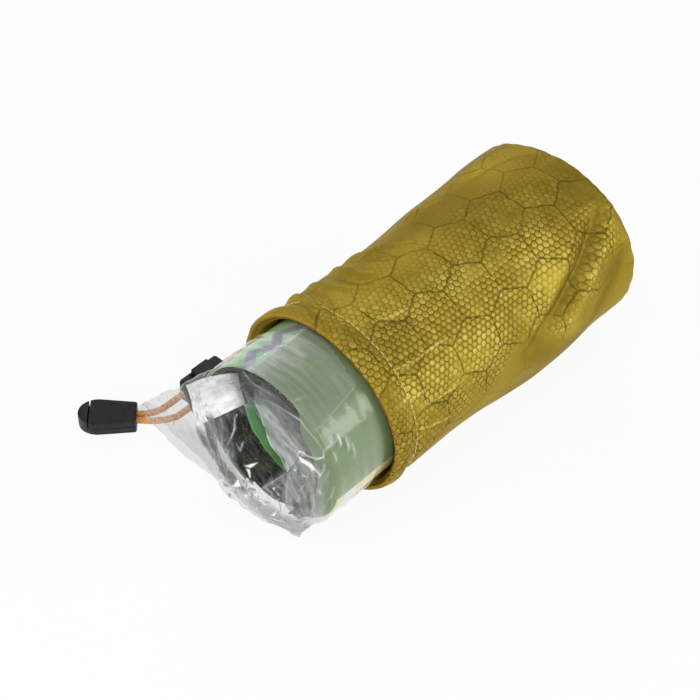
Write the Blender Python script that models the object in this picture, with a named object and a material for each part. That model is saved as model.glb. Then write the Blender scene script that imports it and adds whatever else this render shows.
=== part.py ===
"""Emergency sleeping bag in its stuff sack, with a drawcord, cord lock and cord end.

The sack lies on its side. Its axis runs along Y, with the mouth at -Y and the base at +Y.
The origin is on the flat belly, under the middle of the sack's length, and Z = 0 is the floor.
"""
from math import cos, exp, pi, radians, sin, sqrt

import bmesh
import bpy
from mathutils import Matrix, Vector

MM = 0.001

# Clearance between pieces that touch
GAP = 0.3 * MM

# Stuff sack
SACK_RADIUS = 39.0 * MM
SACK_LENGTH = 139.0 * MM
BELLY_FLATTEN = 1.4 * MM
BELLY_RISE = 0.4 * MM
BELLY_END = 17.0 * MM
CLOTH = 0.5 * MM
SEGMENTS = 36
BODY_STEPS = 7
BULGE_HEIGHT = 4.6 * MM
BULGE_PLACE = 54.0 * MM
BULGE_SPREAD = 30.0 * MM
BULGE_ANGLE = radians(36.0)
SHOULDER_HEIGHT = 3.0 * MM
SHOULDER_PLACE = 60.0 * MM
SHOULDER_SPREAD = 30.0 * MM
SHOULDER_ANGLE = radians(148.0)
WAIST_PLACE = 5.0 * MM
WAIST_SPREAD = 28.0 * MM
WAIST_ANGLE = radians(146.0)
WAIST_CLEARANCE = 0.45 * MM

# Hem with the drawcord tunnel
HEM_DEPTH = 12.0 * MM
HEM_TURNING = 3.0 * MM
CORD = 2.8 * MM
CORD_INSET = 5.2 * MM
TUNNEL_HALF = 4.5 * MM
TUNNEL_STEPS = 6
BEAD = 1.3 * MM
BEAD_SPREAD = 3.2 * MM
DIMPLE = 0.9 * MM
DIMPLE_SPREAD = 1.2 * MM
THREAD = 0.5 * MM
SEAM_ANGLE = radians(190.0)
SEAM_HALF_ANGLE = radians(5.0)
SEAM_THICKNESS = 0.8 * MM
SEAM_STEPS = 12
SLOT_WIDTH = 9.4 * MM
SLOT_LENGTH = 3.8 * MM
SLOT_CORD_OFFSET = 2.2 * MM

# Base seam: the wall turns a round corner and its allowance runs back inside, beside the base panel's
CORNER = 3.0 * MM
CORNER_DEPTH = 3.3 * MM
CORNER_STEPS = 4
SEAM_ALLOWANCE = 7.5 * MM
BASE_MIDDLE = 7.8 * MM
BINDING_LEG = 4.0 * MM

# Rolled sleeping bag, printed card and clear bag
PACK_LIFT = 0.5 * MM
PACK_CLEARANCE = 0.9 * MM
PACK_END_ROOM = 27.1 * MM
ROLL_LENGTH = 140.0 * MM
ROLL_SHEET = 1.8 * MM
ROLL_PITCH = 2.4 * MM
ROLL_CORE = 2.0 * MM
ROLL_STEPS = 20
ROLL_END_ANGLE = radians(250.0)
TELESCOPE = 4.0 * MM
CARD = 0.4 * MM
CARD_START = radians(-75.0)
CARD_END = radians(245.0)
CARD_LENGTH = 138.0 * MM
CARD_STEPS = 32
FILM = 0.4 * MM
BAG_END_ROUND = 1.5 * MM

# Mouth of the clear bag, flattened in front of the roll, from its left tip to its right tip
MOUTH_LEFT = radians(148.0)
MOUTH_RIGHT = radians(-60.0)
MOUTH_HALF = 1.2 * MM
MOUTH_STEPS = 24
FRONT_RINGS = (0.15, 0.4, 0.7, 1.0)
LIP_TILT = Vector((0.0, -0.6, 0.8))
SLIT_HEIGHT = 0.8 * MM
SLIT_HALF = 9.0 * MM

# The mouth's middle line: X, how far it reaches ahead of the round rim, and Z, in millimetres
MOUTH_REACH = ((-66.8, 4.7, 14.4), (-54.0, 3.6, 9.6), (-30.0, 4.4, 5.4), (-4.0, 5.8, 3.4), (18.2, 3.2, 3.2))

# Strip on the bag's front: its corners, as shares across the mouth and from the rim to the mouth
SEAL_STRIP = 0.4 * MM
STRIP_CORNERS = ((0.02, 0.3), (0.19, 0.03), (0.32, 0.25), (0.31, 0.7))
STRIP_STEPS = 8
STRIP_ROWS = 5

# Cord lock
LOCK_WIDTH = 14.4 * MM
LOCK_LENGTH = 20.8 * MM
LOCK_HEIGHT = 11.0 * MM
LOCK_X = -62.3 * MM
LOCK_Y = -69.9 * MM
LOCK_CORD_OFFSET = 3.7 * MM
LOCK_CORD_Z = 6.0 * MM
LOCK_FLOOR = 1.0 * MM
LOCK_WALL = 1.0 * MM
LOCK_WAIST = 0.6 * MM
LOCK_COLLAR = 4.4 * MM
LOCK_EDGE = 1.4 * MM
BUTTON_LENGTH = 8.8 * MM
BUTTON_PLATE = 1.0 * MM
BUTTON_BAR = 0.8 * MM
BUTTON_TRAVEL = 2.2 * MM
BUTTON_PROUD = 2.5 * MM
BUTTON_EDGE = 0.5 * MM
LOCK_SLIDE = 8.0 * MM
SPRING_WIRE = 0.6 * MM
SPRING_RADIUS = 1.5 * MM
SPRING_TURNS = 5
SPRING_STEPS = 9

# Cord end, a two-part clip with its hinge near the round nose
CLIP_TAIL = (-72.1 * MM, -101.0 * MM)
CLIP_DIRECTION = radians(222.8)
CLIP_LENGTH = 23.7 * MM
CLIP_HEIGHT = 7.0 * MM
CLIP_TAIL_HALF = 5.6 * MM
CLIP_NOSE_HALF = 7.0 * MM
CLIP_SHOULDER = 15.5 * MM
CLIP_HINGE = 19.2 * MM
CLIP_GROOVE = 0.7 * MM
CLIP_CORD_OFFSET = 1.7 * MM
CLIP_HOLD = 11.0 * MM
NOSE_STEPS = 8
EDGE = 0.8 * MM
EDGE_BREAK = 0.24 * MM
FOOT_EDGE = 0.48 * MM

# Cord routes, chosen points in millimetres: from the hem to the lock, and from the lock to the cord end
OUTER_LOOP = ((-44.6, -62.9, 31.0), (-49.6, -57.0, 26.0), (-52.6, -49.8, 18.8), (-56.9, -44.4, 12.0),
              (-62.4, -44.6, 7.9), (-65.6, -49.6, 6.3), (-66.0, -55.4, 6.0))
INNER_LOOP = ((-43.6, -62.9, 26.4), (-46.6, -58.2, 21.2), (-48.4, -52.0, 14.8), (-51.4, -47.4, 9.6),
              (-55.8, -47.6, 6.9), (-58.4, -52.2, 6.1), (-58.6, -56.6, 6.0))
OUTER_BEND = ((-66.6, -92.4, 5.5), (-69.2, -96.5, 4.4))
INNER_BEND = ((-59.5, -92.2, 5.6), (-62.5, -95.9, 4.7), (-66.6, -99.1, 3.8))
LOOP_POINTS = 10
BEND_POINTS = 5
ROUTE_FINENESS = 24

# Sizes that follow from the ones above
AXIS_Z = SACK_RADIUS - BELLY_FLATTEN
BASE_Y = SACK_LENGTH / 2
LIP_Y = -SACK_LENGTH / 2
CORD_Y = LIP_Y + CORD_INSET
STITCH_Y = LIP_Y + HEM_DEPTH
CORD_BELOW = CLOTH + GAP + CORD / 2
TUNNEL_STACK = CLOTH + GAP + CORD + GAP + CLOTH
PACK_RADIUS = SACK_RADIUS + BEAD - TUNNEL_STACK - PACK_CLEARANCE
PACK_AXIS_Z = AXIS_Z + PACK_LIFT
PACK_BOTTOM = TUNNEL_STACK + BELLY_RISE + GAP
PACK_FLATTEN = 1 - (PACK_AXIS_Z - PACK_BOTTOM) / PACK_RADIUS
WAIST_DEPTH = SACK_RADIUS - CLOTH - PACK_RADIUS - PACK_LIFT - WAIST_CLEARANCE
CARD_RADIUS = PACK_RADIUS - FILM - GAP
ROLL_RADIUS = CARD_RADIUS - CARD - GAP
ROLL_REAR = BASE_Y - PACK_END_ROOM
ROLL_FRONT = ROLL_REAR - ROLL_LENGTH
BAG_RIM = ROLL_FRONT - GAP - 2 * FILM
BAG_REAR = ROLL_REAR + TELESCOPE + GAP + FILM
BUTTON_BAR_TOP = LOCK_CORD_Z - CORD / 2 - GAP
BUTTON_CAP_BOTTOM = LOCK_CORD_Z + CORD / 2 + BUTTON_TRAVEL + GAP
BUTTON_HALF_WIDTH = LOCK_WIDTH / 2 - LOCK_WALL - GAP
LOCK_REAR = LOCK_Y + LOCK_LENGTH / 2
LOCK_FRONT = LOCK_Y - LOCK_LENGTH / 2
CLIP_SPLIT = CLIP_HEIGHT / 2


def clear_scene():
    for item in list(bpy.data.objects):
        bpy.data.objects.remove(item, do_unlink=True)


def material(name, colour, roughness, metallic=0.0, alpha=1.0):
    made = bpy.data.materials.new(name)
    made.use_nodes = True
    shader = made.node_tree.nodes["Principled BSDF"]
    shader.inputs["Base Color"].default_value = (*colour, 1.0)
    shader.inputs["Roughness"].default_value = roughness
    shader.inputs["Metallic"].default_value = metallic
    shader.inputs["Alpha"].default_value = alpha
    made.diffuse_color = (*colour, alpha)
    return made


def add_object(name, mesh, surface):
    made = bpy.data.objects.new(name, mesh)
    bpy.context.scene.collection.objects.link(made)
    if surface:
        mesh.materials.append(surface)
    return made


def mesh_object(name, points, faces, surface, sharp_angle=35.0):
    """Makes a closed mesh whose faces point out."""
    mesh = bpy.data.meshes.new(name)
    mesh.from_pydata([tuple(point) for point in points], [], faces)
    work = bmesh.new()
    work.from_mesh(mesh)
    bmesh.ops.recalc_face_normals(work, faces=work.faces)
    work.to_mesh(mesh)
    work.free()
    mesh.shade_smooth()
    mesh.set_sharp_from_angle(angle=radians(sharp_angle))
    return add_object(name, mesh, surface)


def ring_faces(rings, count, wrap):
    """Quads between neighbouring rings of the same number of points."""
    faces = []
    last = rings if wrap else rings - 1
    for ring in range(last):
        following = (ring + 1) % rings
        for step in range(count):
            after = (step + 1) % count
            here = ring * count
            there = following * count
            faces.append((here + step, here + after, there + after, there + step))
    return faces


def loft(name, rings, surface, wrap=False):
    """Joins rings into a closed skin: end to start where it wraps, and with flat caps where it doesn't."""
    count = len(rings[0])
    faces = ring_faces(len(rings), count, wrap)
    if not wrap:
        faces.append(tuple(range(count)))
        faces.append(tuple((len(rings) - 1) * count + step for step in range(count)))
    return mesh_object(name, [point for ring in rings for point in ring], faces, surface)


def box(name, low, high, surface=None, edge=0.0):
    """A block between two corners, with rounded edges where edge is given."""
    centre = (Vector(low) + Vector(high)) / 2
    half = (Vector(high) - Vector(low)) / 2
    work = bmesh.new()
    bmesh.ops.create_cube(work, size=2.0, matrix=Matrix.Diagonal((*half, 1.0)))
    if edge:
        bmesh.ops.bevel(work, geom=work.edges[:], offset=edge, segments=2, profile=0.5, affect="EDGES")
    mesh = bpy.data.meshes.new(name)
    work.to_mesh(mesh)
    work.free()
    mesh.shade_smooth()
    mesh.set_sharp_from_angle(angle=radians(35.0))
    made = add_object(name, mesh, surface)
    made.location = centre
    return made


def guide(made):
    made.hide_render = True
    made.display_type = "WIRE"
    return made


def combine(target, other, operation):
    """Cuts or joins a hidden guide solid and the target."""
    guide(other)
    step = target.modifiers.new(other.name, "BOOLEAN")
    step.operation = operation
    step.solver = "EXACT"
    step.object = other


def tube(name, points, diameter, surface, sides_level=2, cyclic=False):
    """A round cord, wire or thread along points."""
    data = bpy.data.curves.new(name, "CURVE")
    data.dimensions = "3D"
    data.bevel_depth = diameter / 2
    data.bevel_resolution = sides_level
    data.use_fill_caps = not cyclic
    path = data.splines.new("POLY")
    path.points.add(len(points) - 1)
    for place, point in zip(path.points, points):
        place.co = (*point, 1.0)
    path.use_cyclic_u = cyclic
    return add_object(name, data, surface)


def curve_point(before, start, end, after, t):
    """A point of the smooth curve from start (0) to end (1), through points before and after them."""
    linear = end - before
    square = 2 * before - 5 * start + 4 * end - after
    cubic = 3 * start - before - 3 * end + after
    return start + 0.5 * (linear * t + square * t ** 2 + cubic * t ** 3)


def smooth_route(points, count):
    """Reads count points, evenly spaced, from a Catmull-Rom curve through the route's points."""
    route = [Vector(point) for point in points]
    padded = [2 * route[0] - route[1], *route, 2 * route[-1] - route[-2]]
    fine = []
    for index in range(1, len(padded) - 2):
        before, start, end, after = padded[index - 1:index + 3]
        for step in range(ROUTE_FINENESS):
            fine.append(curve_point(before, start, end, after, step / ROUTE_FINENESS))
    fine.append(route[-1])
    lengths = [0.0]
    for first, second in zip(fine, fine[1:]):
        lengths.append(lengths[-1] + (second - first).length)
    even = []
    place = 0
    for step in range(count):
        wanted = lengths[-1] * step / (count - 1)
        while place < len(lengths) - 2 and lengths[place + 1] < wanted:
            place += 1
        share = (wanted - lengths[place]) / (lengths[place + 1] - lengths[place])
        even.append(fine[place].lerp(fine[place + 1], share))
    return even


def angles(count=SEGMENTS):
    """Angles around the sack, set so that two facets' edges lie evenly about the belly."""
    return [2 * pi * (step + 0.5) / count for step in range(count)]


def bead(y):
    return BEAD * exp(-((y - CORD_Y) / BEAD_SPREAD) ** 2)


def dimple(y):
    return DIMPLE * exp(-((y - STITCH_Y) / DIMPLE_SPREAD) ** 2)


def swell(y, angle, height, place, spread, centre):
    """A soft rise of the cloth around one place along the sack and one angle about it."""
    return height * exp(-((y - place) / spread) ** 2) * max(0.0, cos(angle - centre)) ** 2


def form(y, angle):
    """How far the cloth stands out from its plain round shape: two swells near the base and a waist."""
    bulge = swell(y, angle, BULGE_HEIGHT, BULGE_PLACE, BULGE_SPREAD, BULGE_ANGLE)
    shoulder = swell(y, angle, SHOULDER_HEIGHT, SHOULDER_PLACE, SHOULDER_SPREAD, SHOULDER_ANGLE)
    waist = swell(y, angle, WAIST_DEPTH, WAIST_PLACE, WAIST_SPREAD, WAIST_ANGLE)
    return bulge + shoulder - waist


def end_rise(y):
    """How far the flat belly lifts off the floor towards the mouth and the base."""
    reach = abs(y) - (SACK_LENGTH / 2 - BELLY_END)
    return BELLY_RISE * max(0.0, reach / BELLY_END)


def cloth_point(angle, y, below):
    """A point a given depth below the sack's outer skin, kept above the flattened belly."""
    radius = SACK_RADIUS + form(y, angle) + bead(y) - dimple(y) - below
    lowest = below + dimple(y) + end_rise(y)
    return (radius * cos(angle), y, max(AXIS_Z + radius * sin(angle), lowest))


def pack_point(angle, y, radius):
    """A point of the rolled pack, each layer of which is a little flattened where it lies on the sack."""
    lowest = PACK_AXIS_Z - radius * (1 - PACK_FLATTEN)
    return (radius * cos(angle), y, max(PACK_AXIS_Z + radius * sin(angle), lowest))


def thicken(line, thickness):
    """Closed outline of a strip of cloth whose middle follows the line of (y, below) points."""
    upper = []
    lower = []
    for index, (y, below) in enumerate(line):
        before = line[max(index - 1, 0)]
        after = line[min(index + 1, len(line) - 1)]
        along = Vector((after[0] - before[0], after[1] - before[1])).normalized()
        half = thickness / 2
        upper.append((y - along.y * half, below + along.x * half))
        lower.append((y + along.y * half, below - along.x * half))
    return upper + lower[::-1]


def cloth_ring(name, line, thickness, surface):
    """A ring of cloth around the sack, with the given line as its section."""
    outline = thicken(line, thickness)
    rings = [[cloth_point(angle, y, below) for y, below in outline] for angle in angles()]
    return loft(name, rings, surface, wrap=True)


def tunnel_gap(y):
    """Space between the hem's two layers: a lens around the drawcord."""
    share = 1 - ((y - CORD_Y) / TUNNEL_HALF) ** 2
    return GAP + (CORD + GAP) * sqrt(max(0.0, share))


def arc(centre, reach, start, finish):
    """Points of a turn in a section: y runs with the sine of the angle and the depth with its cosine."""
    points = []
    for step in range(CORNER_STEPS + 1):
        angle = start + (finish - start) * step / CORNER_STEPS
        points.append((centre[0] + reach[0] * sin(angle), centre[1] + reach[1] * cos(angle)))
    return points


def sack_line():
    """The wall's section, from the base seam along the outside to the lip and back inside the hem."""
    skin = CLOTH / 2
    hem_back = STITCH_Y + HEM_TURNING
    line = [(BASE_Y - SEAM_ALLOWANCE, skin + CORNER_DEPTH)]
    line += arc((BASE_Y - CORNER, skin + CORNER_DEPTH / 2), (CORNER - CLOTH, CORNER_DEPTH / 2), 0.0, pi)
    body_start = BASE_Y - 2 * CORNER
    body_end = hem_back + HEM_TURNING
    for step in range(BODY_STEPS + 1):
        line.append((body_start + (body_end - body_start) * step / BODY_STEPS, skin))
    fold = (CLOTH + GAP) / 2
    hem = [hem_back, STITCH_Y + DIMPLE_SPREAD, STITCH_Y, STITCH_Y - DIMPLE_SPREAD]
    hem += [CORD_Y + TUNNEL_HALF * cos(pi * step / TUNNEL_STEPS) for step in range(TUNNEL_STEPS)]
    hem.append(LIP_Y + 2 * fold)
    line += [(y, skin) for y in hem]
    line.append((LIP_Y + skin, skin + fold))
    line += [(y, CLOTH + tunnel_gap(y) + skin) for y in reversed(hem)]
    return line


def make_sack_wall(surface):
    wall = cloth_ring("sack_wall", sack_line(), CLOTH, surface)
    outer = SACK_RADIUS + BEAD
    reach = Vector((CORD / 2, SLOT_LENGTH / 2, SLOT_WIDTH / 2))
    slot = box("slot_cutter", -reach, reach)
    slot.location = (outer * cos(SEAM_ANGLE), CORD_Y, AXIS_Z + outer * sin(SEAM_ANGLE))
    slot.rotation_euler = (0.0, -SEAM_ANGLE, 0.0)
    combine(wall, slot, "DIFFERENCE")
    return wall


def make_sack_base(surface):
    """The round base panel: a flat face, a round corner and an allowance beside the wall's."""
    depth = CLOTH + CORNER_DEPTH + GAP + CLOTH / 2
    face = BASE_Y - CLOTH / 2
    line = [(BASE_Y - SEAM_ALLOWANCE, depth)]
    line += arc((BASE_Y - CORNER, depth + CORNER), (face - BASE_Y + CORNER, CORNER), pi, pi / 2)
    line.append((face, SACK_RADIUS - BASE_MIDDLE))
    outline = thicken(line, CLOTH)
    rings = [[cloth_point(angle, y, below) for angle in angles()] for y, below in outline]
    half = len(outline) // 2
    return loft("sack_base", rings[half:] + rings[:half], surface)


def make_base_binding(surface):
    outer_leg = CORNER_DEPTH - GAP - CLOTH / 2
    inner_leg = CLOTH + CORNER_DEPTH + GAP + CLOTH + GAP + CLOTH / 2
    edge = BASE_Y - SEAM_ALLOWANCE
    bend = edge - GAP - CLOTH
    middle = (outer_leg + inner_leg) / 2
    quarter = (inner_leg - outer_leg) / 4
    line = [(edge + BINDING_LEG, outer_leg), (edge, outer_leg), (bend, middle - quarter)]
    line.append((bend - CLOTH / 4, middle))
    line += [(bend, middle + quarter), (edge, inner_leg), (edge + BINDING_LEG, inner_leg)]
    return cloth_ring("base_seam_binding", line, CLOTH, surface)


def make_side_seam(surface):
    """The folded allowance of the wall's lengthwise seam, inside the sack."""
    outer = CLOTH + GAP
    inner = outer + SEAM_THICKNESS
    sides = (SEAM_ANGLE - SEAM_HALF_ANGLE, SEAM_ANGLE + SEAM_HALF_ANGLE)
    start = STITCH_Y + HEM_TURNING + 2 * GAP
    end = BASE_Y - SEAM_ALLOWANCE - BINDING_LEG
    rings = []
    for step in range(SEAM_STEPS + 1):
        y = start + (end - start) * step / SEAM_STEPS
        rings.append([cloth_point(sides[0], y, outer), cloth_point(sides[1], y, outer),
                      cloth_point(sides[1], y, inner), cloth_point(sides[0], y, inner)])
    return loft("side_seam", rings, surface)


def make_hem_thread(surface):
    above = -(GAP + THREAD / 2)
    points = [cloth_point(angle, STITCH_Y, above) for angle in angles()]
    return tube("hem_thread", points, THREAD, surface, sides_level=1, cyclic=True)


def make_drawcord_loop(surface):
    """The drawcord inside the hem, from one side of the exit slot right round to the other."""
    radius = SACK_RADIUS + BEAD - CORD_BELOW
    end_angle = (CORD / 4) / radius
    start = SEAM_ANGLE + end_angle
    finish = SEAM_ANGLE + 2 * pi - end_angle
    both_turns = angles() + [angle + 2 * pi for angle in angles()]
    between = [angle for angle in both_turns if start < angle < finish]
    points = [cloth_point(angle, CORD_Y, CORD_BELOW) for angle in [start, *between, finish]]
    return tube("drawcord_loop", points, CORD, surface)


def slot_exit(side):
    """Where a tail leaves the hem: outside the drawcord in the tunnel, beside the slot's middle."""
    radius = SACK_RADIUS + BEAD - CLOTH
    across = Vector((sin(SEAM_ANGLE), 0.0, -cos(SEAM_ANGLE)))
    centre = Vector((radius * cos(SEAM_ANGLE), CORD_Y, AXIS_Z + radius * sin(SEAM_ANGLE)))
    return centre + across * side * SLOT_CORD_OFFSET


def clip_place(along, across, z):
    """A point of the cord end, given along its length from the tail, across it and above the floor."""
    ahead = Vector((cos(CLIP_DIRECTION), sin(CLIP_DIRECTION), 0.0))
    left = Vector((-ahead.y, ahead.x, 0.0))
    return Vector((*CLIP_TAIL, z)) + ahead * along + left * across


def make_tail(name, side, loop, bend, surface):
    """One free end of the drawcord: hem, loop, lock, bend and cord end."""
    bore_x = LOCK_X - side * LOCK_CORD_OFFSET
    rear = (bore_x, LOCK_REAR + GAP, LOCK_CORD_Z)
    front = (bore_x, LOCK_FRONT - LOCK_SLIDE - GAP, LOCK_CORD_Z)
    entry = clip_place(0.0, -side * CLIP_CORD_OFFSET, CLIP_SPLIT)
    finish = clip_place(CLIP_HOLD, -side * CLIP_CORD_OFFSET, CLIP_SPLIT)
    outside = [slot_exit(side), *[Vector(point) * MM for point in loop], Vector(rear)]
    between = [Vector(front), *[Vector(point) * MM for point in bend], entry]
    points = smooth_route(outside, LOOP_POINTS) + smooth_route(between, BEND_POINTS) + [finish]
    return tube(name, points, CORD, surface)


def make_roll(surface):
    """The sleeping bag, folded to a long strip and wound into a spiral whose middle is a little recessed."""
    start = ROLL_CORE
    finish = ROLL_RADIUS - ROLL_SHEET / 2
    turns = (finish - start) / ROLL_PITCH
    steps = round(turns * ROLL_STEPS)
    rings = []
    for step in range(steps + 1):
        angle = ROLL_END_ANGLE + 2 * pi * turns * (step / steps - 1)
        middle = start + (finish - start) * step / steps
        recess = TELESCOPE * (1 - middle / ROLL_RADIUS)
        front = ROLL_FRONT + recess
        rear = ROLL_REAR + recess
        inner = middle - ROLL_SHEET / 2
        outer = middle + ROLL_SHEET / 2
        rings.append([pack_point(angle, front, inner), pack_point(angle, front, outer),
                      pack_point(angle, rear, outer), pack_point(angle, rear, inner)])
    least = ROLL_PITCH * (1 - PACK_FLATTEN) - ROLL_SHEET
    print(f"roll: {turns:.1f} turns, least gap between them {least / MM:.2f} mm")
    return loft("sleeping_bag_roll", rings, surface)


def make_card(surface):
    """The printed card, wrapped around the roll with its seam at the bottom."""
    front = ROLL_FRONT + GAP
    rear = front + CARD_LENGTH
    inner = CARD_RADIUS - CARD
    rings = []
    for step in range(CARD_STEPS + 1):
        angle = CARD_START + (CARD_END - CARD_START) * step / CARD_STEPS
        rings.append([pack_point(angle, front, inner), pack_point(angle, front, CARD_RADIUS),
                      pack_point(angle, rear, CARD_RADIUS), pack_point(angle, rear, inner)])
    return loft("printed_card", rings, surface)


def mouth_line(share):
    """The middle of the clear bag's flattened mouth, from its left tip (0) to its right tip (1)."""
    points = [Vector((x * MM, BAG_RIM - reach * MM, z * MM)) for x, reach, z in MOUTH_REACH]
    place = min(share * (len(points) - 1), len(points) - 1.0001)
    index = int(place)
    before = points[index - 1] if index else 2 * points[0] - points[1]
    after = points[index + 2] if index + 2 < len(points) else 2 * points[-1] - points[-2]
    return curve_point(before, points[index], points[index + 1], after, place - index)


def bag_front(share, upper, forward):
    """A point of the clear bag between its round rim (0) and its flattened mouth (1)."""
    if upper:
        angle = MOUTH_LEFT + (MOUTH_RIGHT - MOUTH_LEFT) * share
    else:
        angle = MOUTH_LEFT + (2 * pi + MOUTH_RIGHT - MOUTH_LEFT) * share
    rim = Vector(pack_point(angle, BAG_RIM, PACK_RADIUS))
    lift = MOUTH_HALF * sqrt(max(0.0, 1 - abs(2 * share - 1) ** 6))
    lip = mouth_line(share) + LIP_TILT * (lift if upper else -lift)
    return rim.lerp(lip, forward)


def bag_shares():
    """Places around the clear bag: over its upper side from left to right, then back under it."""
    over = [(step / MOUTH_STEPS, True) for step in range(MOUTH_STEPS)]
    under = [(1 - step / MOUTH_STEPS, False) for step in range(MOUTH_STEPS)]
    return over + under


def bag_ring(y, radius):
    ring = []
    for share, upper in bag_shares():
        turn = MOUTH_RIGHT - MOUTH_LEFT if upper else 2 * pi + MOUTH_RIGHT - MOUTH_LEFT
        ring.append(pack_point(MOUTH_LEFT + turn * share, y, radius))
    return ring


def mouth_faces(start):
    """Closes the flattened mouth between its upper and lower lips."""
    count = 2 * MOUTH_STEPS
    faces = [(start, start + 1, start + count - 1)]
    for step in range(1, MOUTH_STEPS - 1):
        faces.append((start + step, start + step + 1, start + count - step - 1, start + count - step))
    faces.append((start + MOUTH_STEPS - 1, start + MOUTH_STEPS, start + MOUTH_STEPS + 1))
    return faces


def mouth_slit():
    """The opening between the two films, from the mouth's middle to the room in front of the roll."""
    x, reach, z = MOUTH_REACH[3]
    rear = Vector((0.0, BAG_RIM + 2 * FILM, PACK_BOTTOM + 4 * FILM))
    mouth = Vector((0.0, BAG_RIM - reach * MM, z * MM))
    up = Vector((0.0, 0.0, SLIT_HEIGHT / 2))
    across = Vector((SLIT_HALF, 0.0, 0.0))
    rings = []
    for share in (0.0, 1.5):
        middle = rear + (mouth - rear) * share
        rings.append([middle - across - up, middle + across - up, middle + across + up, middle - across + up])
    return loft("slit_cutter", rings, None)


def make_clear_bag(surface):
    """The clear bag: closed behind the roll, round along it, flattened and hanging in front of it."""
    middle = (BAG_RIM + BAG_REAR) / 2
    rings = [bag_ring(BAG_REAR, PACK_RADIUS - BAG_END_ROUND), bag_ring(BAG_REAR - BAG_END_ROUND, PACK_RADIUS),
             bag_ring(middle, PACK_RADIUS), bag_ring(BAG_RIM, PACK_RADIUS)]
    for forward in FRONT_RINGS:
        rings.append([bag_front(share, upper, forward) for share, upper in bag_shares()])
    count = 2 * MOUTH_STEPS
    faces = ring_faces(len(rings), count, wrap=False)
    faces.append(tuple(range(count)))
    faces += mouth_faces((len(rings) - 1) * count)
    bag = mesh_object("clear_bag", [point for ring in rings for point in ring], faces, surface)
    inner = PACK_RADIUS - FILM
    rear = BAG_REAR - FILM
    cavity = loft("bag_cavity", [bag_ring(rear, inner - BAG_END_ROUND), bag_ring(rear - BAG_END_ROUND, inner),
                                 bag_ring(BAG_RIM + FILM, inner)], None)
    combine(bag, cavity, "DIFFERENCE")
    combine(bag, mouth_slit(), "DIFFERENCE")
    return bag


def between(first, second, share):
    return tuple(start + (end - start) * share for start, end in zip(first, second))


def make_seal_strip(surface):
    """The whitish strip along the clear bag's upper left edge, lying on its front."""
    upper_left, upper_right, lower_right, lower_left = STRIP_CORNERS
    rings = []
    for step in range(STRIP_STEPS + 1):
        upper = between(upper_left, upper_right, step / STRIP_STEPS)
        lower = between(lower_left, lower_right, step / STRIP_STEPS)
        places = []
        for row in range(STRIP_ROWS):
            share, forward = between(upper, lower, row / (STRIP_ROWS - 1))
            places.append(bag_front(share, True, forward))
        near = [place - Vector((0.0, GAP, 0.0)) for place in places]
        far = [place - Vector((0.0, GAP + SEAL_STRIP, 0.0)) for place in places]
        rings.append(near + far[::-1])
    return loft("bag_seal_strip", rings, surface)


def make_lock_body(surface):
    """The cord lock's body: rounded, with a collar at each end, two cord bores and the button's well."""
    half = LOCK_WIDTH / 2
    low = (LOCK_X - half, LOCK_FRONT, 0.0)
    high = (LOCK_X + half, LOCK_REAR, LOCK_HEIGHT)
    body = box("cord_lock_body", low, high, surface, LOCK_EDGE)
    waist_low = LOCK_FRONT + LOCK_COLLAR
    waist_high = LOCK_REAR - LOCK_COLLAR
    far = 2 * LOCK_WIDTH
    low = (LOCK_X - far, waist_low, LOCK_HEIGHT - LOCK_WAIST)
    high = (LOCK_X + far, waist_high, LOCK_HEIGHT + far)
    combine(body, box("waist_top", low, high), "DIFFERENCE")
    for side in (-1, 1):
        near = LOCK_X + side * (half - LOCK_WAIST / 2)
        away = LOCK_X + side * far
        low = (min(near, away), waist_low, -far)
        high = (max(near, away), waist_high, far)
        combine(body, box(f"waist_side_{side}", low, high), "DIFFERENCE")
    well_half = BUTTON_HALF_WIDTH + GAP
    well_length = BUTTON_LENGTH / 2 + GAP
    low = (LOCK_X - well_half, LOCK_Y - well_length, LOCK_FLOOR)
    high = (LOCK_X + well_half, LOCK_Y + well_length, LOCK_HEIGHT + far)
    combine(body, box("button_well", low, high), "DIFFERENCE")
    for side in (-1, 1):
        combine(body, cord_bore(f"lock_bore_{side}", LOCK_X + side * LOCK_CORD_OFFSET), "DIFFERENCE")
    return body


def cord_bore(name, x):
    """A round cutter along Y for one strand."""
    work = bmesh.new()
    bmesh.ops.create_cone(work, cap_ends=True, segments=16, radius1=CORD / 2 + GAP, radius2=CORD / 2 + GAP,
                          depth=2 * LOCK_LENGTH, matrix=Matrix.Rotation(pi / 2, 4, "X"))
    mesh = bpy.data.meshes.new(name)
    work.to_mesh(mesh)
    work.free()
    bore = add_object(name, mesh, None)
    bore.location = (x, LOCK_Y, LOCK_CORD_Z)
    return bore


def make_lock_button(surface):
    """The cap and two plates with a window for each strand; its bars pinch the cords when it is let go."""
    half = BUTTON_HALF_WIDTH
    length = BUTTON_LENGTH / 2
    bottom = BUTTON_BAR_TOP - BUTTON_BAR
    low = (LOCK_X - half, LOCK_Y - length, bottom)
    high = (LOCK_X + half, LOCK_Y + length, LOCK_HEIGHT + BUTTON_PROUD)
    button = box("cord_lock_button", low, high, surface, BUTTON_EDGE)
    inside = length - BUTTON_PLATE
    low = (LOCK_X - 2 * half, LOCK_Y - inside, bottom - CORD)
    high = (LOCK_X + 2 * half, LOCK_Y + inside, BUTTON_CAP_BOTTOM)
    combine(button, box("spring_room", low, high), "DIFFERENCE")
    reach = CORD / 2 + GAP
    for side in (-1, 1):
        middle = LOCK_X + side * LOCK_CORD_OFFSET
        low = (middle - reach, LOCK_Y - 2 * length, BUTTON_BAR_TOP)
        high = (middle + reach, LOCK_Y + 2 * length, BUTTON_CAP_BOTTOM)
        combine(button, box(f"cord_window_{side}", low, high), "DIFFERENCE")
    return button


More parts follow.
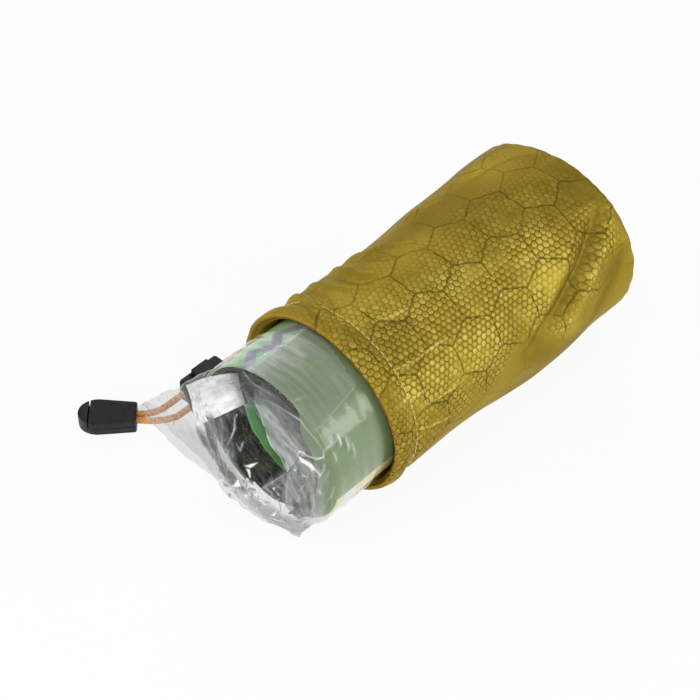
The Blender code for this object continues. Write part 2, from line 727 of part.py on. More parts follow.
def make_lock_spring(surface):
    """The coil spring that lifts the button, standing between the two strands."""
    low = LOCK_FLOOR + GAP + SPRING_WIRE / 2
    high = BUTTON_CAP_BOTTOM - GAP - SPRING_WIRE / 2
    steps = SPRING_TURNS * SPRING_STEPS
    points = []
    for step in range(steps + 1):
        angle = 2 * pi * SPRING_TURNS * step / steps
        points.append((LOCK_X + SPRING_RADIUS * cos(angle), LOCK_Y + SPRING_RADIUS * sin(angle),
                       low + (high - low) * step / steps))
    pitch = (high - low) / SPRING_TURNS
    print(f"spring: {SPRING_TURNS} turns, least gap between them {(pitch - SPRING_WIRE) / MM:.2f} mm")
    return tube("cord_lock_spring", points, SPRING_WIRE, surface, sides_level=1)


def clip_outline(inset):
    """Half-round nose, straight sides and small tail corners, counted from the tail."""
    tail = CLIP_TAIL_HALF - inset
    nose = CLIP_NOSE_HALF - inset
    right = [(inset, tail - EDGE), (inset + EDGE_BREAK, tail - EDGE_BREAK), (inset + EDGE, tail)]
    reach = CLIP_LENGTH - CLIP_SHOULDER - inset
    for step in range(NOSE_STEPS):
        angle = pi / 2 * step / NOSE_STEPS
        right.append((CLIP_SHOULDER + reach * sin(angle), nose * cos(angle)))
    tip = [(CLIP_LENGTH - inset, 0.0)]
    return right + tip + [(along, -across) for along, across in reversed(right)]


def clip_solid(name, origin, surface):
    """The cord end's full outer shape with rounded top and bottom edges, around the given origin."""
    levels = ((0.0, FOOT_EDGE), (FOOT_EDGE, 0.0), (CLIP_HEIGHT - EDGE, 0.0),
              (CLIP_HEIGHT - EDGE_BREAK, EDGE_BREAK), (CLIP_HEIGHT, EDGE))
    rings = []
    for z, inset in levels:
        rings.append([clip_place(along, across, z) - origin for along, across in clip_outline(inset)])
    made = loft(name, rings, surface)
    made.location = origin
    return made


def clip_cutter(name, along, half, heights):
    """A block across the cord end, from one place along it to another."""
    centre = clip_place(sum(along) / 2, 0.0, sum(heights) / 2)
    reach = (abs(along[1] - along[0]) / 2, half, abs(heights[1] - heights[0]) / 2)
    cutter = box(name, [-side for side in reach], reach)
    cutter.location = centre
    cutter.rotation_euler = (0.0, 0.0, CLIP_DIRECTION)
    return cutter


def cord_channel(name):
    """Room for both cords, from outside the tail to where they are held."""
    reach = CORD / 2 + GAP
    heights = (CLIP_SPLIT - reach, CLIP_SPLIT + reach)
    return clip_cutter(name, (-CORD, CLIP_HOLD + GAP), CLIP_CORD_OFFSET + reach, heights)


def make_cord_end(surface):
    """The clip's base with its nose, and the lid that swings up about the groove by the nose."""
    wide = 2 * CLIP_NOSE_HALF
    long = 2 * CLIP_LENGTH
    tall = 2 * CLIP_HEIGHT
    groove_back = CLIP_HINGE - CLIP_GROOVE / 2
    groove_front = CLIP_HINGE + CLIP_GROOVE / 2
    base = clip_solid("cord_end_base", clip_place(0.0, 0.0, 0.0), surface)
    lid_room = clip_cutter("lid_room", (-long, groove_front), wide, (CLIP_SPLIT - GAP / 2, tall))
    combine(base, lid_room, "DIFFERENCE")
    combine(base, cord_channel("base_channel"), "DIFFERENCE")
    lid = clip_solid("cord_end_lid", clip_place(CLIP_HINGE, 0.0, CLIP_HEIGHT), surface)
    base_room = clip_cutter("base_room", (-long, long), wide, (-tall, CLIP_SPLIT + GAP / 2))
    combine(lid, base_room, "DIFFERENCE")
    combine(lid, clip_cutter("nose_room", (groove_back, long), wide, (-tall, tall)), "DIFFERENCE")
    combine(lid, cord_channel("lid_channel"), "DIFFERENCE")
    return base, lid


def main():
    clear_scene()
    cloth = material("ripstop_cloth", (0.42, 0.33, 0.07), 0.42)
    binding = material("binding_tape", (0.10, 0.09, 0.04), 0.8)
    thread = material("hem_thread_gold", (0.75, 0.62, 0.22), 0.6)
    cord = material("orange_cord", (0.90, 0.33, 0.04), 0.7)
    plastic = material("black_plastic", (0.02, 0.02, 0.022), 0.4)
    steel = material("spring_steel", (0.6, 0.6, 0.6), 0.3, metallic=1.0)
    foil = material("green_film", (0.06, 0.10, 0.04), 0.25, metallic=0.4)
    card = material("printed_card", (0.22, 0.32, 0.17), 0.45)
    film = material("clear_film", (0.85, 0.87, 0.87), 0.1, alpha=0.3)
    strip = material("whitish_strip", (0.85, 0.87, 0.88), 0.3, alpha=0.8)

    make_sack_wall(cloth)
    make_sack_base(cloth)
    make_base_binding(binding)
    make_side_seam(cloth)
    make_hem_thread(thread)
    make_drawcord_loop(cord)
    make_tail("drawcord_tail_outer", 1, OUTER_LOOP, OUTER_BEND, cord)
    make_tail("drawcord_tail_inner", -1, INNER_LOOP, INNER_BEND, cord)
    make_lock_body(plastic)
    make_lock_button(plastic)
    make_lock_spring(steel)
    make_cord_end(plastic)
    make_roll(foil)
    make_card(card)
    make_clear_bag(film)
    make_seal_strip(strip)


main()
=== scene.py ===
"""Looks of the emergency sleeping bag in its stuff sack: cloth, stitches, cords, roll, card and clear bag.

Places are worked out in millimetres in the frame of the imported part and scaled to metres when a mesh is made.
Angles about the sack and the pack are counted from +X upwards, in radians unless a table says degrees.
"""
from math import cos, pi, radians, sin, sqrt

import bmesh
import bpy
import numpy as np
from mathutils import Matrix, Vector


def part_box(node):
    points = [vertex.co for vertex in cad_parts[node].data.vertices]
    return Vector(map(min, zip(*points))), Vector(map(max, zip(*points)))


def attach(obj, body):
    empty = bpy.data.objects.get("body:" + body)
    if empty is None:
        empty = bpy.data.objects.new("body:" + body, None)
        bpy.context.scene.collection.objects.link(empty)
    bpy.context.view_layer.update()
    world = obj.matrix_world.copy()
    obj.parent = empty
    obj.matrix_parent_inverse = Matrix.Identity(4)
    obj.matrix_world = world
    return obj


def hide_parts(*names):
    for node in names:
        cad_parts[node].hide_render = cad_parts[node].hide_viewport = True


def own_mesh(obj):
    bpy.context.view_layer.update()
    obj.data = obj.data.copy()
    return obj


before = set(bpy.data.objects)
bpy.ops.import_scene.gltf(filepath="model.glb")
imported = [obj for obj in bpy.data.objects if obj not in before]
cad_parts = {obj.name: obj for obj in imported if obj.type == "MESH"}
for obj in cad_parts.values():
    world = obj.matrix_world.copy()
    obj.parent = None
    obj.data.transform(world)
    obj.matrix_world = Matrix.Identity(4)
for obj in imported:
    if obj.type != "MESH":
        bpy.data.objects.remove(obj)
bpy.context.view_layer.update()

MM = 0.001
WHITE = (1.0, 1.0, 1.0)


def span(node, axis):
    """Lowest and highest place of a node of the part along one axis, in mm."""
    low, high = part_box(node)
    return low[axis] / MM, high[axis] / MM


# Camera, set as the photograph was taken
VIEW_AZIMUTH = radians(42.84)
VIEW_ELEVATION = radians(45.01)
VIEW_DISTANCE = 800.0
VIEW_TARGET = np.array((-12.0, -40.2, 37.8))
VIEW_LENS = 105.3
SENSOR = 36.0

# Softboxes: azimuth and elevation in degrees, distance and size in metres, and power
LAMPS = {
    "light_right": (124.0, 20.0, 1.1, (0.75, 0.42), 4.6),
    "light_left": (-126.0, 30.0, 1.1, (0.75, 0.5), 2.4),
    "light_top": (30.0, 72.0, 1.2, (1.0, 0.8), 3.6),
    "light_front": (42.0, 24.0, 1.4, (0.9, 0.5), 3.6),
    "light_mouth": (-8.0, 17.0, 1.1, (0.42, 0.22), 2.6),
    "light_mouth_left": (-52.0, 26.0, 1.1, (0.25, 0.35), 1.6),
}
LAMP_TARGET = Vector((0.0, -0.02, 0.03))
SURROUND = 0.27
FLOOR_HALF = 6.0
FLOOR_DROP = 0.0001

# Stuff sack, as in the part
LIP_Y, BASE_Y = span("sack_wall", 1)
SACK_RADIUS = 39.0
AXIS_Z = 37.6
CLOTH = 0.5
CLOTH_SKIN = 0.3
BELLY_RISE = 0.4
BELLY_END = 17.0
CORD_Y = LIP_Y + 5.2
STITCH_Y = LIP_Y + 12.0
HEM_END = STITCH_Y + 3.0
TUNNEL_HALF = 4.5
CORD = 2.8
GAP = 0.3
CORNER = 3.0
CORNER_DEPTH = 3.3
SEAM_ALLOWANCE = 7.5
SEAM_ANGLE = radians(190.0)
CORD_BEAD = 1.3
BEAD_SPREAD = 3.2
STITCH_DIMPLE = 0.9
DIMPLE_SPREAD = 1.2
LIP_ROUND = 0.9
LIP_NOSE = 0.7
TAPE_LEG = 4.0
SACK_STEPS = 272
TAPE_STEPS = 180
BODY_STEP = 1.1
ALLOWANCE_STEP = 1.5

# Section of the folded allowance of the lengthwise seam: angle from the seam in degrees, and depth in mm
SEAM_SECTION = ((-5.0, 0.9), (-4.0, 0.75), (0.0, 0.75), (4.0, 0.75), (5.0, 0.9),
                (5.0, 1.4), (4.0, 1.55), (0.0, 1.55), (-4.0, 1.55), (-5.0, 1.4))
SEAM_ROWS = 90

# Base panel, in mm: the blend from the wall's uneven rim to a plain disc, depth where the disc is flat,
# how far it sags inward, and height of its puckers and of its unevenness
BASE_BLEND = 22.0
BASE_FLAT = 9.0
BASE_SAG = 0.7
BASE_PUCKER = 0.25
BASE_WAVE = 0.45
BASE_CELLS = 0.6

# Where the sack stands out or lies in: height, place along it and spread in mm, and angle in degrees.
# What lies inside the sack follows the bulges and leaves the eases out.
BULGES = ((4.6, 54.0, 30.0, 36.0), (3.0, 60.0, 30.0, 148.0), (-2.55, 5.0, 28.0, 146.0))
EASES = ((1.5, -67.0, 5.0, -35.0), (3.0, 12.0, 21.0, 146.0), (4.2, 22.0, 31.0, -34.0),
         (2.6, 66.0, 12.0, 16.0), (-1.6, 66.0, 14.0, 78.0), (-1.6, -66.0, 6.0, -52.0),
         (2.0, -70.0, 5.0, 152.0))

# Folds of the sack's cloth: height in mm, half width in mm, then places as (y in mm, angle in degrees).
# The last two let the hem rise round the drawcord's exits, at both ends of the wall's range of angles.
SACK_FOLDS = (
    (-3.4, 3.3, ((63, 50), (58, 46), (51, 40), (44, 33), (36, 26), (29, 20), (21, 14), (11, 6), (2, 0))),
    (2.3, 3, ((66, 51), (60, 40), (52, 32), (44, 24), (36, 15), (30, 8), (22, 2))),
    (-1.3, 3.4, ((66, 24), (61, 14), (54, 5), (44, -4))),
    (-1, 4.5, ((0, 46), (5, 35), (9, 22), (14, 7))),
    (-0.8, 2.6, ((24, 92), (38, 84), (50, 74), (62, 66))),
    (1.2, 2.4, ((30, 127), (38, 126), (46, 126), (56, 125), (64, 118))),
    (-0.9, 2.2, ((34, 117), (46, 115), (58, 110), (66, 98))),
    (1, 1.8, ((6, 131), (12, 127), (18, 122), (26, 118))),
    (1.4, 1.9, ((-22, 146), (-20, 137), (-19, 125), (-15, 117), (-11, 108), (-7, 101))),
    (-1.1, 2, ((-26, 142), (-26, 130), (-24, 118), (-21, 107), (-17, 99))),
    (1.2, 1.9, ((-28, 148), (-30, 139), (-33, 122), (-34, 108), (-30, 98))),
    (-1, 2.2, ((-38, 140), (-39, 126), (-40, 112), (-37, 100), (-33, 92))),
    (1.2, 1.9, ((-42, 146), (-44, 132), (-46, 115), (-44, 102), (-38, 94))),
    (1.7, 1.8, ((-52, 150), (-53, 138), (-55, 126), (-58, 114), (-60, 104), (-61, 94))),
    (-0.6, 1.2, ((-56, 146), (-57, 136), (-59, 124), (-60, 116))),
    (-1.1, 1.8, ((-50, 140), (-51, 124), (-54, 110), (-57, 98))),
    (0.9, 1, ((-52, 76), (-47, 73), (-42, 71), (-35, 70))),
    (-0.6, 1.2, ((-52, 72), (-46, 69), (-41, 67), (-35, 67))),
    (0.8, 0.9, ((-60, 48), (-54, 46), (-48, 45), (-42, 45), (-34, 44), (-28, 42))),
    (-0.6, 1, ((-58, 44), (-50, 42), (-42, 41), (-34, 40))),
    (0.8, 1, ((-58, 20), (-50, 19), (-43, 18), (-36, 16), (-27, 17))),
    (-0.6, 1.1, ((-58, 16), (-49, 15), (-40, 13), (-32, 12))),
    (0.9, 1, ((-62, 11), (-54, 6), (-46, 2), (-37, -2))),
    (-0.7, 1.2, ((-62, 6), (-54, 2), (-46, -3), (-38, -7))),
    (0.7, 1.1, ((-62, 30), (-55, 29), (-48, 27))),
    (-0.7, 1.3, ((-62, -6), (-52, -10), (-40, -14))),
    (1, 6, ((-64.3, 168), (-64.3, 190), (-64.3, 212))),
    (1, 6, ((-64.3, -192), (-64.3, -170), (-64.3, -148))),
)

# Where the honeycomb shows: between these places (y in mm, angle in degrees), above and below
CELLS_ABOVE = (
    (-70, 110), (-45, 108), (-30, 106), (1, 106), (17, 106), (32, 104), (44, 98), (56, 84), (66, 70), (70, 60)
)
CELLS_BELOW = (
    (-70, -36), (-40, -30), (-20, -19), (-11, -4), (-2, 6), (4, 9), (15, 5), (28, -6), (42, -3), (49, 12),
    (59, 30), (70, 50)
)

# Painted light and shade of the cloth, brighter gold (above 0) where it is lit and darker olive (below 0) where
# it is shaded: strength, half width in mm, then places as for the folds
PAINTED_CLOTH_LIGHT = (
    (-1, 3.3, ((63, 50), (58, 46), (51, 40), (44, 33), (36, 26), (29, 20), (21, 14), (11, 6))),
    (0.9, 3.4, ((66, 51), (60, 38), (52, 30), (44, 22), (36, 13), (30, 6))),
    (-0.7, 5, ((66, 40), (62, 26), (56, 14), (48, 0), (40, -14), (28, -20))),
    (1, 10, ((-54, 30), (-40, 28), (-25, 28), (-12, 30))),
    (0.6, 8, ((-56, 86), (-44, 78), (-30, 70))),
    (0.5, 6, ((2, 40), (10, 34), (18, 36))),
    (0.6, 5, ((14, 12), (22, 2), (32, -4))),
    (-0.6, 4, ((-66, 40), (-66, 10), (-66, -20))),
    (0.5, 7, ((-12, 66), (4, 60), (16, 56), (28, 50))),
    (0.6, 5, ((16, 26), (24, 32), (34, 40))),
    (-0.35, 3, ((-66, 130), (-65, 110), (-64, 90), (-64, 76))),
    (-0.45, 6, ((-42, 120), (-20, 116), (0, 112), (20, 108))),
    (-0.6, 6, ((-60, 150), (-20, 143), (20, 141), (60, 130))),
    (-0.65, 14, ((10, 104), (30, 102), (46, 96), (60, 86))),
    (-0.6, 4, ((-50, -34), (-20, -32), (0, -26), (20, -24), (40, -18))),
    (-0.45, 6, ((0, 2), (8, -4), (16, -8))),
    (-1.2, 0.8, ((-58, 131), (-61, 119), (-63, 108), (-65, 101), (-65, 93))),
)

# Folds narrower than this get a painted highlight along their top, and half that highlight's width, in mm
CREST_HIGHLIGHT_WIDEST = 1.15
CREST_HIGHLIGHT_HALF = 0.60

# Honeycomb of the cloth: small cells, and large outlines with one cell's centre at (around, along)
SMALL_CELL = 2.675
LARGE_CELL = 8 * SMALL_CELL
LARGE_CENTRE = (38.0, 13.6)

# Rolled pack, as in the part
PACK_LIFT = 0.5
PACK_AXIS_Z = AXIS_Z + PACK_LIFT
PACK_RADIUS = 35.0
PACK_BOTTOM = 5.1
PACK_FLATTEN = 1 - (PACK_AXIS_Z - PACK_BOTTOM) / PACK_RADIUS
ROUND_FROM = -86.0
ROUND_EASE = 12.0

# Printed card, and its front edge bent in over the roll: radius, reach, and start, end and ease of the bend
CARD_RADIUS = 34.3
CARD = 0.4
CARD_START = radians(-75.0)
CARD_END = radians(245.0)
CARD_FRONT, CARD_REAR = span("printed_card", 1)
CARD_EDGE = 2.6
CARD_LAP = 10.0
CARD_BEND = (radians(-80.0), radians(72.0), radians(26.0))
CARD_WAVE = 0.06
CARD_ROWS = 88
CARD_EDGE_ROWS = 22
CARD_COLUMNS = 260

# Roll of film: a spiral of three thin layers, which swells into the gap between the card's ends
ROLL_RADIUS = 33.6
ROLL_PITCH = 2.4
ROLL_CORE = 2.0
ROLL_SHEET = 1.8
ROLL_END_ANGLE = radians(250.0)
ROLL_FRONT = span("sleeping_bag_roll", 1)[0]
ROLL_STEPS = 72
ROLL_LAYERS = (-0.6, 0.0, 0.6)
ROLL_DEPTHS = (0.0, 0.8, 1.8, 3.2, 5.5, 9.0, 30.0, 132.0, 140.0)
TELESCOPE = 4.0
GAP_ANGLE = radians(265.0)
GAP_SPREAD = radians(16.0)
GAP_SWELL = 1.3
GAP_SHARE = 0.86
CRUMPLE = 0.38
CRUMPLE_DEPTH = 4.0
RUFFLE = (0.9, 1.4)
RUFFLE_DEPTH = 12.0
ROLL_SLACK = 0.75
FILM_SKIN = 0.25

# The bright green film at the roll's end: its left and right edges as (X, Z), and how far each stands back
TONGUE_LEFT = (
    (-12.4, 52), (-11.7, 49.1), (-10.3, 45.2), (-7.9, 40.9), (-4.4, 37.4), (-0.3, 34.4), (4.3, 31.7),
    (9.6, 31.2)
)
TONGUE_RIGHT = (
    (-3.2, 57.4), (-2.2, 55), (0, 50.4), (1.9, 45.6), (3.6, 40.8), (5.8, 36.8), (8.6, 34), (12, 31.4)
)
TONGUE_BACK = (-0.4, 1.6)
TONGUE_STEP = 0.5
TONGUE_COLUMNS = 18
TONGUE_WIDTH = 10.0
TONGUE_BULGE = 1.5
TONGUE_WAVE = 0.15

# Clear bag, as in the part: its mouth's middle line is X, the reach ahead of the round rim, and Z
BAG_RIM = ROLL_FRONT - 1.1
BAG_REAR = span("clear_bag", 1)[1]
MOUTH_LEFT = radians(148.0)
MOUTH_RIGHT = radians(-60.0)
MOUTH_REACH = ((-66.8, 4.7, 14.4), (-54, 3.6, 9.6), (-30, 4.4, 5.4), (-4, 5.8, 3.4), (18.2, 3.2, 3.2))
MOUTH_HALF = 1.2
MOUTH_LEAN = np.array((0.0, -0.6, 0.8))
BAG_STEPS = 230
FRONT_STEPS = 152
REAR_RADII = (4.0, 14.0, 24.0, 31.0, 34.0)
BAG_FREE = -62.0

# Whitish strip: its corners as shares across the mouth and ahead of the rim, and its size in mm
STRIP_CORNERS = ((0.02, 0.3), (0.19, 0.03), (0.32, 0.25), (0.31, 0.7))
STRIP_SIZE = (36.0, 16.0)
STRIP_LIFT = 1.6
STRIP_SKIN = 0.2

# Cord lock and cord end, as in the part
LOCK_X = -62.3
LOCK_FRONT, LOCK_REAR = span("cord_lock_body", 1)
LOCK_SLIDE = 8.0
LOCK_CORD_OFFSET = 3.7
LOCK_CORD_Z = 6.0
SLOT_CORD_OFFSET = 2.2
CLIP_TAIL = (-72.1, -101.0)
CLIP_DIRECTION = radians(222.8)
CLIP_CORD_OFFSET = 1.7
CLIP_HOLD = 11.0
CLIP_SPLIT = 3.5

# Cord routes, chosen points in mm: from the hem to the lock, and from the lock to the cord end
OUTER_LOOP = (
    (-44.6, -62.9, 31), (-49.6, -57, 26), (-52.6, -49.8, 18.8), (-56.9, -44.4, 12), (-62.4, -44.6, 7.9),
    (-65.6, -49.6, 6.3), (-66, -55.4, 6)
)
INNER_LOOP = (
    (-43.6, -62.9, 26.4), (-46.6, -58.2, 21.2), (-48.4, -52, 14.8), (-51.4, -47.4, 9.6),
    (-55.8, -47.6, 6.9), (-58.4, -52.2, 6.1), (-58.6, -56.6, 6)
)
OUTER_BEND = ((-66.6, -92.4, 5.5), (-69.2, -96.5, 4.4))
INNER_BEND = ((-59.5, -92.2, 5.6), (-62.5, -95.9, 4.7), (-66.6, -99.1, 3.8))

# Braid of the cords: strands each way, pitch and relief in mm, and the dark strands' numbers
BRAID_STRANDS = 8
BRAID_PITCH = 9.0
BRAID_RELIEF = 0.16
BRAID_TRACERS = (3.0, 12.0)
CORD_SIDES = 48
CORD_STEP = 0.25

# Stitches of the hem: number, length as a share of their spacing, and thickness and lift in mm
STITCHES = 92
STITCH_SHARE = (0.84, 0.92)
STITCH_DRIFT = 0.12
STITCH_THICK = 0.27
STITCH_LIFT = 0.30
STITCH_SINK = 0.12
STITCH_RINGS = 9
STITCH_SIDES = 7


def unit(values):
    """Values held between 0 and 1."""
    return np.clip(values, 0.0, 1.0)


def bell(far, width):
    """1 at no distance, falling off smoothly over a width."""
    return np.exp(-(far / width) ** 2)


def between(values, low, high, ease):
    """1 between two values and 0 beyond them, with an ease inside each."""
    return unit((values - low) / ease) * unit((high - values) / ease)


def turned(angle, start):
    """Angle from a start, the short way round."""
    return (angle - start + pi) % (2 * pi) - pi


def wrapped(values):
    """The same values between 0 and 1, with anything outside -1 to 1 cut off."""
    return 0.5 + 0.5 * np.clip(values, -1, 1)


def reaches(points):
    """Distance from the first point to each point along a path."""
    return np.concatenate(([0.0], np.cumsum(np.linalg.norm(np.diff(points, axis=0), axis=1))))


def directions(vectors):
    """The same vectors with length 1."""
    return vectors / np.maximum(np.linalg.norm(vectors, axis=-1, keepdims=True), 1e-9)


def waves(places, wavelength, seed, count=14):
    """Smooth unevenness, mostly between -1 and 1: a sum of plane waves in random directions."""
    draw = np.random.default_rng(seed)
    total = 0.0
    for _ in range(count):
        direction = directions(draw.normal(size=places.shape[-1]))
        length = wavelength * draw.uniform(0.7, 1.6)
        total = total + np.sin(places @ direction * 2 * pi / length + draw.uniform(0, 2 * pi))
    return total / sqrt(1.5 * count)


def facets(places, size, seed, count=8):
    """Flat facets with sharp creases, as in crumpled film: triangle waves over gently bent places."""
    draw = np.random.default_rng(seed)
    bend = np.stack([waves(places, 2.5 * size, seed + step + 1) for step in range(places.shape[-1])], axis=-1)
    bent = places + 0.5 * size * bend
    total = 0.0
    for _ in range(count):
        direction = directions(draw.normal(size=places.shape[-1]))
        length = size * draw.uniform(0.8, 2.4)
        share = bent @ direction / length + draw.uniform(0, 1)
        total = total + (4 * np.abs(share - np.floor(share) - 0.5) - 1) * length / size
    return total / (1.6 * sqrt(count))


def near_line(places, line):
    """Distance from each place to a line of points, and how far along the line that is, from 0 to 1."""
    line = np.array(line, float)
    starts = reaches(line)
    best = np.full(places.shape[:-1], 1e9)
    share = np.zeros(places.shape[:-1])
    for index, length in enumerate(np.linalg.norm(np.diff(line, axis=0), axis=1)):
        along = (line[index + 1] - line[index]) / length
        offset = places - line[index]
        reach = np.clip(offset @ along, 0.0, length)
        far = np.linalg.norm(offset - reach[..., None] * along, axis=-1)
        closer = far < best
        best = np.where(closer, far, best)
        share = np.where(closer, (starts[index] + reach) / starts[-1], share)
    return best, share


def fold(places, height, half_width, line):
    """A crease that is highest along its middle and runs out at its ends."""
    far, share = near_line(places, line)
    return height * bell(far, half_width) * np.sqrt(4 * share * (1 - share) + 1e-9)


def near_polygon(places, corners, soft):
    """1 inside a polygon of the plane and 0 outside, with a soft edge."""
    inside = np.zeros(places.shape[:-1], bool)
    for (x, z), (next_x, next_z) in zip(corners, corners[1:] + corners[:1]):
        crosses = (z > places[..., 1]) != (next_z > places[..., 1])
        reach = x + (places[..., 1] - z) * (next_x - x) / (next_z - z + 1e-9)
        inside ^= crosses & (places[..., 0] < reach)
    far = near_line(places, corners + corners[:1])[0]
    return unit(0.5 + np.where(inside, far, -far) / soft)


def padded(points):
    """Points with one more at each end, for a curve through all of them."""
    points = np.array(points, float)
    return np.concatenate(([2 * points[0] - points[1]], points, [2 * points[-1] - points[-2]]))


def curve(before, start, end, after, t):
    """A point of a Catmull-Rom curve between start (t = 0) and end (t = 1)."""
    return start + 0.5 * ((end - before) * t + (2 * before - 5 * start + 4 * end - after) * t ** 2
                          + (3 * start - before - 3 * end + after) * t ** 3)


def smooth_path(points, spacing):
    """Places evenly spaced along a smooth curve through the points."""
    route = padded(points)
    t = np.linspace(0.0, 1.0, 40, endpoint=False)[:, None]
    fine = [curve(*four, t) for four in zip(route, route[1:], route[2:], route[3:])]
    fine = np.concatenate(fine + [route[-2:-1]])
    reach = reaches(fine)
    wanted = np.linspace(0.0, reach[-1], max(2, round(reach[-1] / spacing)) + 1)
    return np.stack([np.interp(wanted, reach, fine[:, axis]) for axis in range(3)], axis=-1)


def grid_faces(rows, columns, wrap=False):
    """Faces of a grid of points, and the row, column and unrolled column of their corners."""
    row, column = np.meshgrid(np.arange(rows - 1), np.arange(columns if wrap else columns - 1), indexing="ij")
    after = (column + 1) % columns
    corners = ((row, column, column), (row, after, column + 1), (row + 1, after, column + 1),
               (row + 1, column, column))
    return np.stack([here * columns + there for here, there, _ in corners], axis=-1).reshape(-1, 4), corners


def new_object(name, points, faces, surface, body, flat=()):
    """An object of points in mm that rides on a body. flat unrolls the corners of its faces."""
    mesh = bpy.data.meshes.new(name)
    mesh.from_pydata((points.reshape(-1, 3) * MM).tolist(), [], faces)
    if len(flat):
        rest = np.zeros(2 * len(mesh.loops) - len(flat))
        mesh.uv_layers.new(name="flat").data.foreach_set("uv", np.concatenate((flat, rest)))
    work = bmesh.new()
    work.from_mesh(mesh)
    bmesh.ops.recalc_face_normals(work, faces=work.faces)
    work.to_mesh(mesh)
    work.free()
    mesh.shade_smooth()
    mesh.materials.append(surface)
    made = bpy.data.objects.new(name, mesh)
    bpy.context.scene.collection.objects.link(made)
    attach(made, body)
    return made


def grid_object(name, places, surface, body, wrap=False, flat=None, caps=()):
    """A skin through rows and columns of places in mm. wrap joins the last column to the first.
    flat gives each place in the unrolled material, with one more column where the skin wraps.
    caps names the rows that a face closes."""
    rows, columns = places.shape[:2]
    faces, corners = grid_faces(rows, columns, wrap)
    faces = faces.tolist() + [list(range(row * columns, (row + 1) * columns)) for row in caps]
    if flat is not None:
        flat = np.stack([flat[here, there] for here, _, there in corners], axis=2).reshape(-1)
    return new_object(name, places, faces, surface, body, () if flat is None else flat)


def add_values(made, values):
    """Gives the points of an object named values, for its material."""
    for label, numbers in values.items():
        made.data.attributes.new(label, "FLOAT", "POINT").data.foreach_set("value", numbers.reshape(-1))


def thicken(made, thickness):
    """Makes a solid sheet of a skin, with half the thickness on each side."""
    step = made.modifiers.new("thickness", "SOLIDIFY")
    step.thickness = thickness * MM
    step.offset = 0.0


def join(name, pieces):
    """One object of several pieces that share a material and a body."""
    first = pieces[0]
    work = bmesh.new()
    for piece in pieces:
        work.from_mesh(piece.data)
    work.to_mesh(first.data)
    work.free()
    for piece in pieces[1:]:
        bpy.data.objects.remove(piece, do_unlink=True)
    first.name = name
    first.data.name = name
    return first


class Value:
    """An output of a shader node, which can be added to, taken from and multiplied."""

    def __init__(self, nodes, socket):
        self.nodes = nodes
        self.socket = socket

    def __add__(self, other):
        return self.nodes.math("ADD", self, other)

    def __sub__(self, other):
        return self.nodes.math("SUBTRACT", self, other)

    def __mul__(self, other):
        return self.nodes.math("MULTIPLY", self, other)


class Nodes:
    """The nodes of a material or of the surround, with short calls for them."""

    def __init__(self, owner):
        owner.use_nodes = True
        self.owner = owner
        self.tree = owner.node_tree

    def fill(self, socket, value):
        if isinstance(value, Value):
            self.tree.links.new(value.socket, socket)
        elif value is not None:
            socket.default_value = (*value, 1.0) if socket.type == "RGBA" else value

    def node(self, kind, *inputs, output=0, named=(), **settings):
        """Adds a node with its settings, fills sockets in order or by name and gives one of its outputs."""
        made = self.tree.nodes.new("ShaderNode" + kind)
        for key, value in settings.items():
            setattr(made, key, value)
        for socket, value in zip(made.inputs, inputs):
            self.fill(socket, value)
        for key, value in dict(named).items():
            self.fill(made.inputs[key], value)
        return Value(self, made.outputs[output])

    def show(self, shader):
        """Makes a shader the one that is seen."""
        output = next(node for node in self.tree.nodes if node.type.startswith("OUTPUT"))
        self.fill(output.inputs["Surface"], shader)
        return self.owner

    def math(self, operation, *inputs):
        return self.node("Math", *inputs, operation=operation)

    def vector(self, operation, *inputs, output=0):
        return self.node("VectorMath", *inputs, output=output, operation=operation)

    def dot(self, first, second):
        return self.vector("DOT_PRODUCT", first, second, output=1)

    def stretch(self, places, *factors):
        """Places multiplied by one factor for each axis."""
        return self.vector("MULTIPLY", places, factors)

    def ramp(self, value, low, high, start=0.0, end=1.0):
        """Goes smoothly from start to end as value goes from low to high."""
        return self.node("MapRange", value, low, high, start, end, interpolation_type="SMOOTHSTEP")

    def band(self, value, low, high, soft):
        """Rises to 1 after low and falls to 0 after high, within a soft distance."""
        return self.ramp(value, low, low + soft) * self.ramp(value, high, high + soft, 1.0, 0.0)

    def mix(self, factor, first, second):
        """Mixes two colours."""
        return self.node("Mix", output=2, named={0: factor, 6: first, 7: second}, data_type="RGBA")

    def pick(self, factor, first, second):
        """Takes the first vector where factor is 0 and the second where it is 1."""
        return self.node("Mix", output=1, named={0: factor, 4: first, 5: second}, data_type="VECTOR")

    def places(self):
        """Object coordinates, in mm."""
        return self.stretch(self.node("TexCoord", output=3), 1 / MM, 1 / MM, 1 / MM)

    def attribute(self, label):
        return self.node("Attribute", attribute_name=label, output=2)

    def noise(self, places, scale, detail=2.0, roughness=0.5, output=0):
        sockets = {"Vector": places, "Scale": scale, "Detail": detail, "Roughness": roughness}
        return self.node("TexNoise", output=output, named=sockets)

    def flat(self):
        """Place in the unrolled material: the whole, and around and along, in mm."""
        whole = self.node("UVMap", uv_map="flat")
        return whole, self.node("SeparateXYZ", whole), self.node("SeparateXYZ", whole, output=1)

    def bump(self, height, distance):
        """Relief, in mm, of a height from 0 to 1."""
        return self.node("Bump", named={"Distance": distance * MM, "Height": height})

    def rays(self, *kinds):
        """1 for rays of the given kinds and 0 for others."""
        seen = 0.0
        for kind in kinds:
            seen = self.math("MAXIMUM", seen, self.node("LightPath", output=f"Is {kind} Ray"))
        return seen


class Surface(Nodes):
    """One material with its main shader."""

    def __init__(self, name):
        super().__init__(bpy.data.materials.new(name))
        self.shader = self.tree.nodes["Principled BSDF"]

    def set(self, **sockets):
        """Fills sockets of the main shader, named with _ for a space."""
        for name, value in sockets.items():
            self.fill(self.shader.inputs[name.replace("_", " ")], value)
        return self.owner

    def instead(self, shader):
        """Shows another shader in place of the main one."""
        self.tree.nodes.remove(self.shader)
        return self.show(shader)


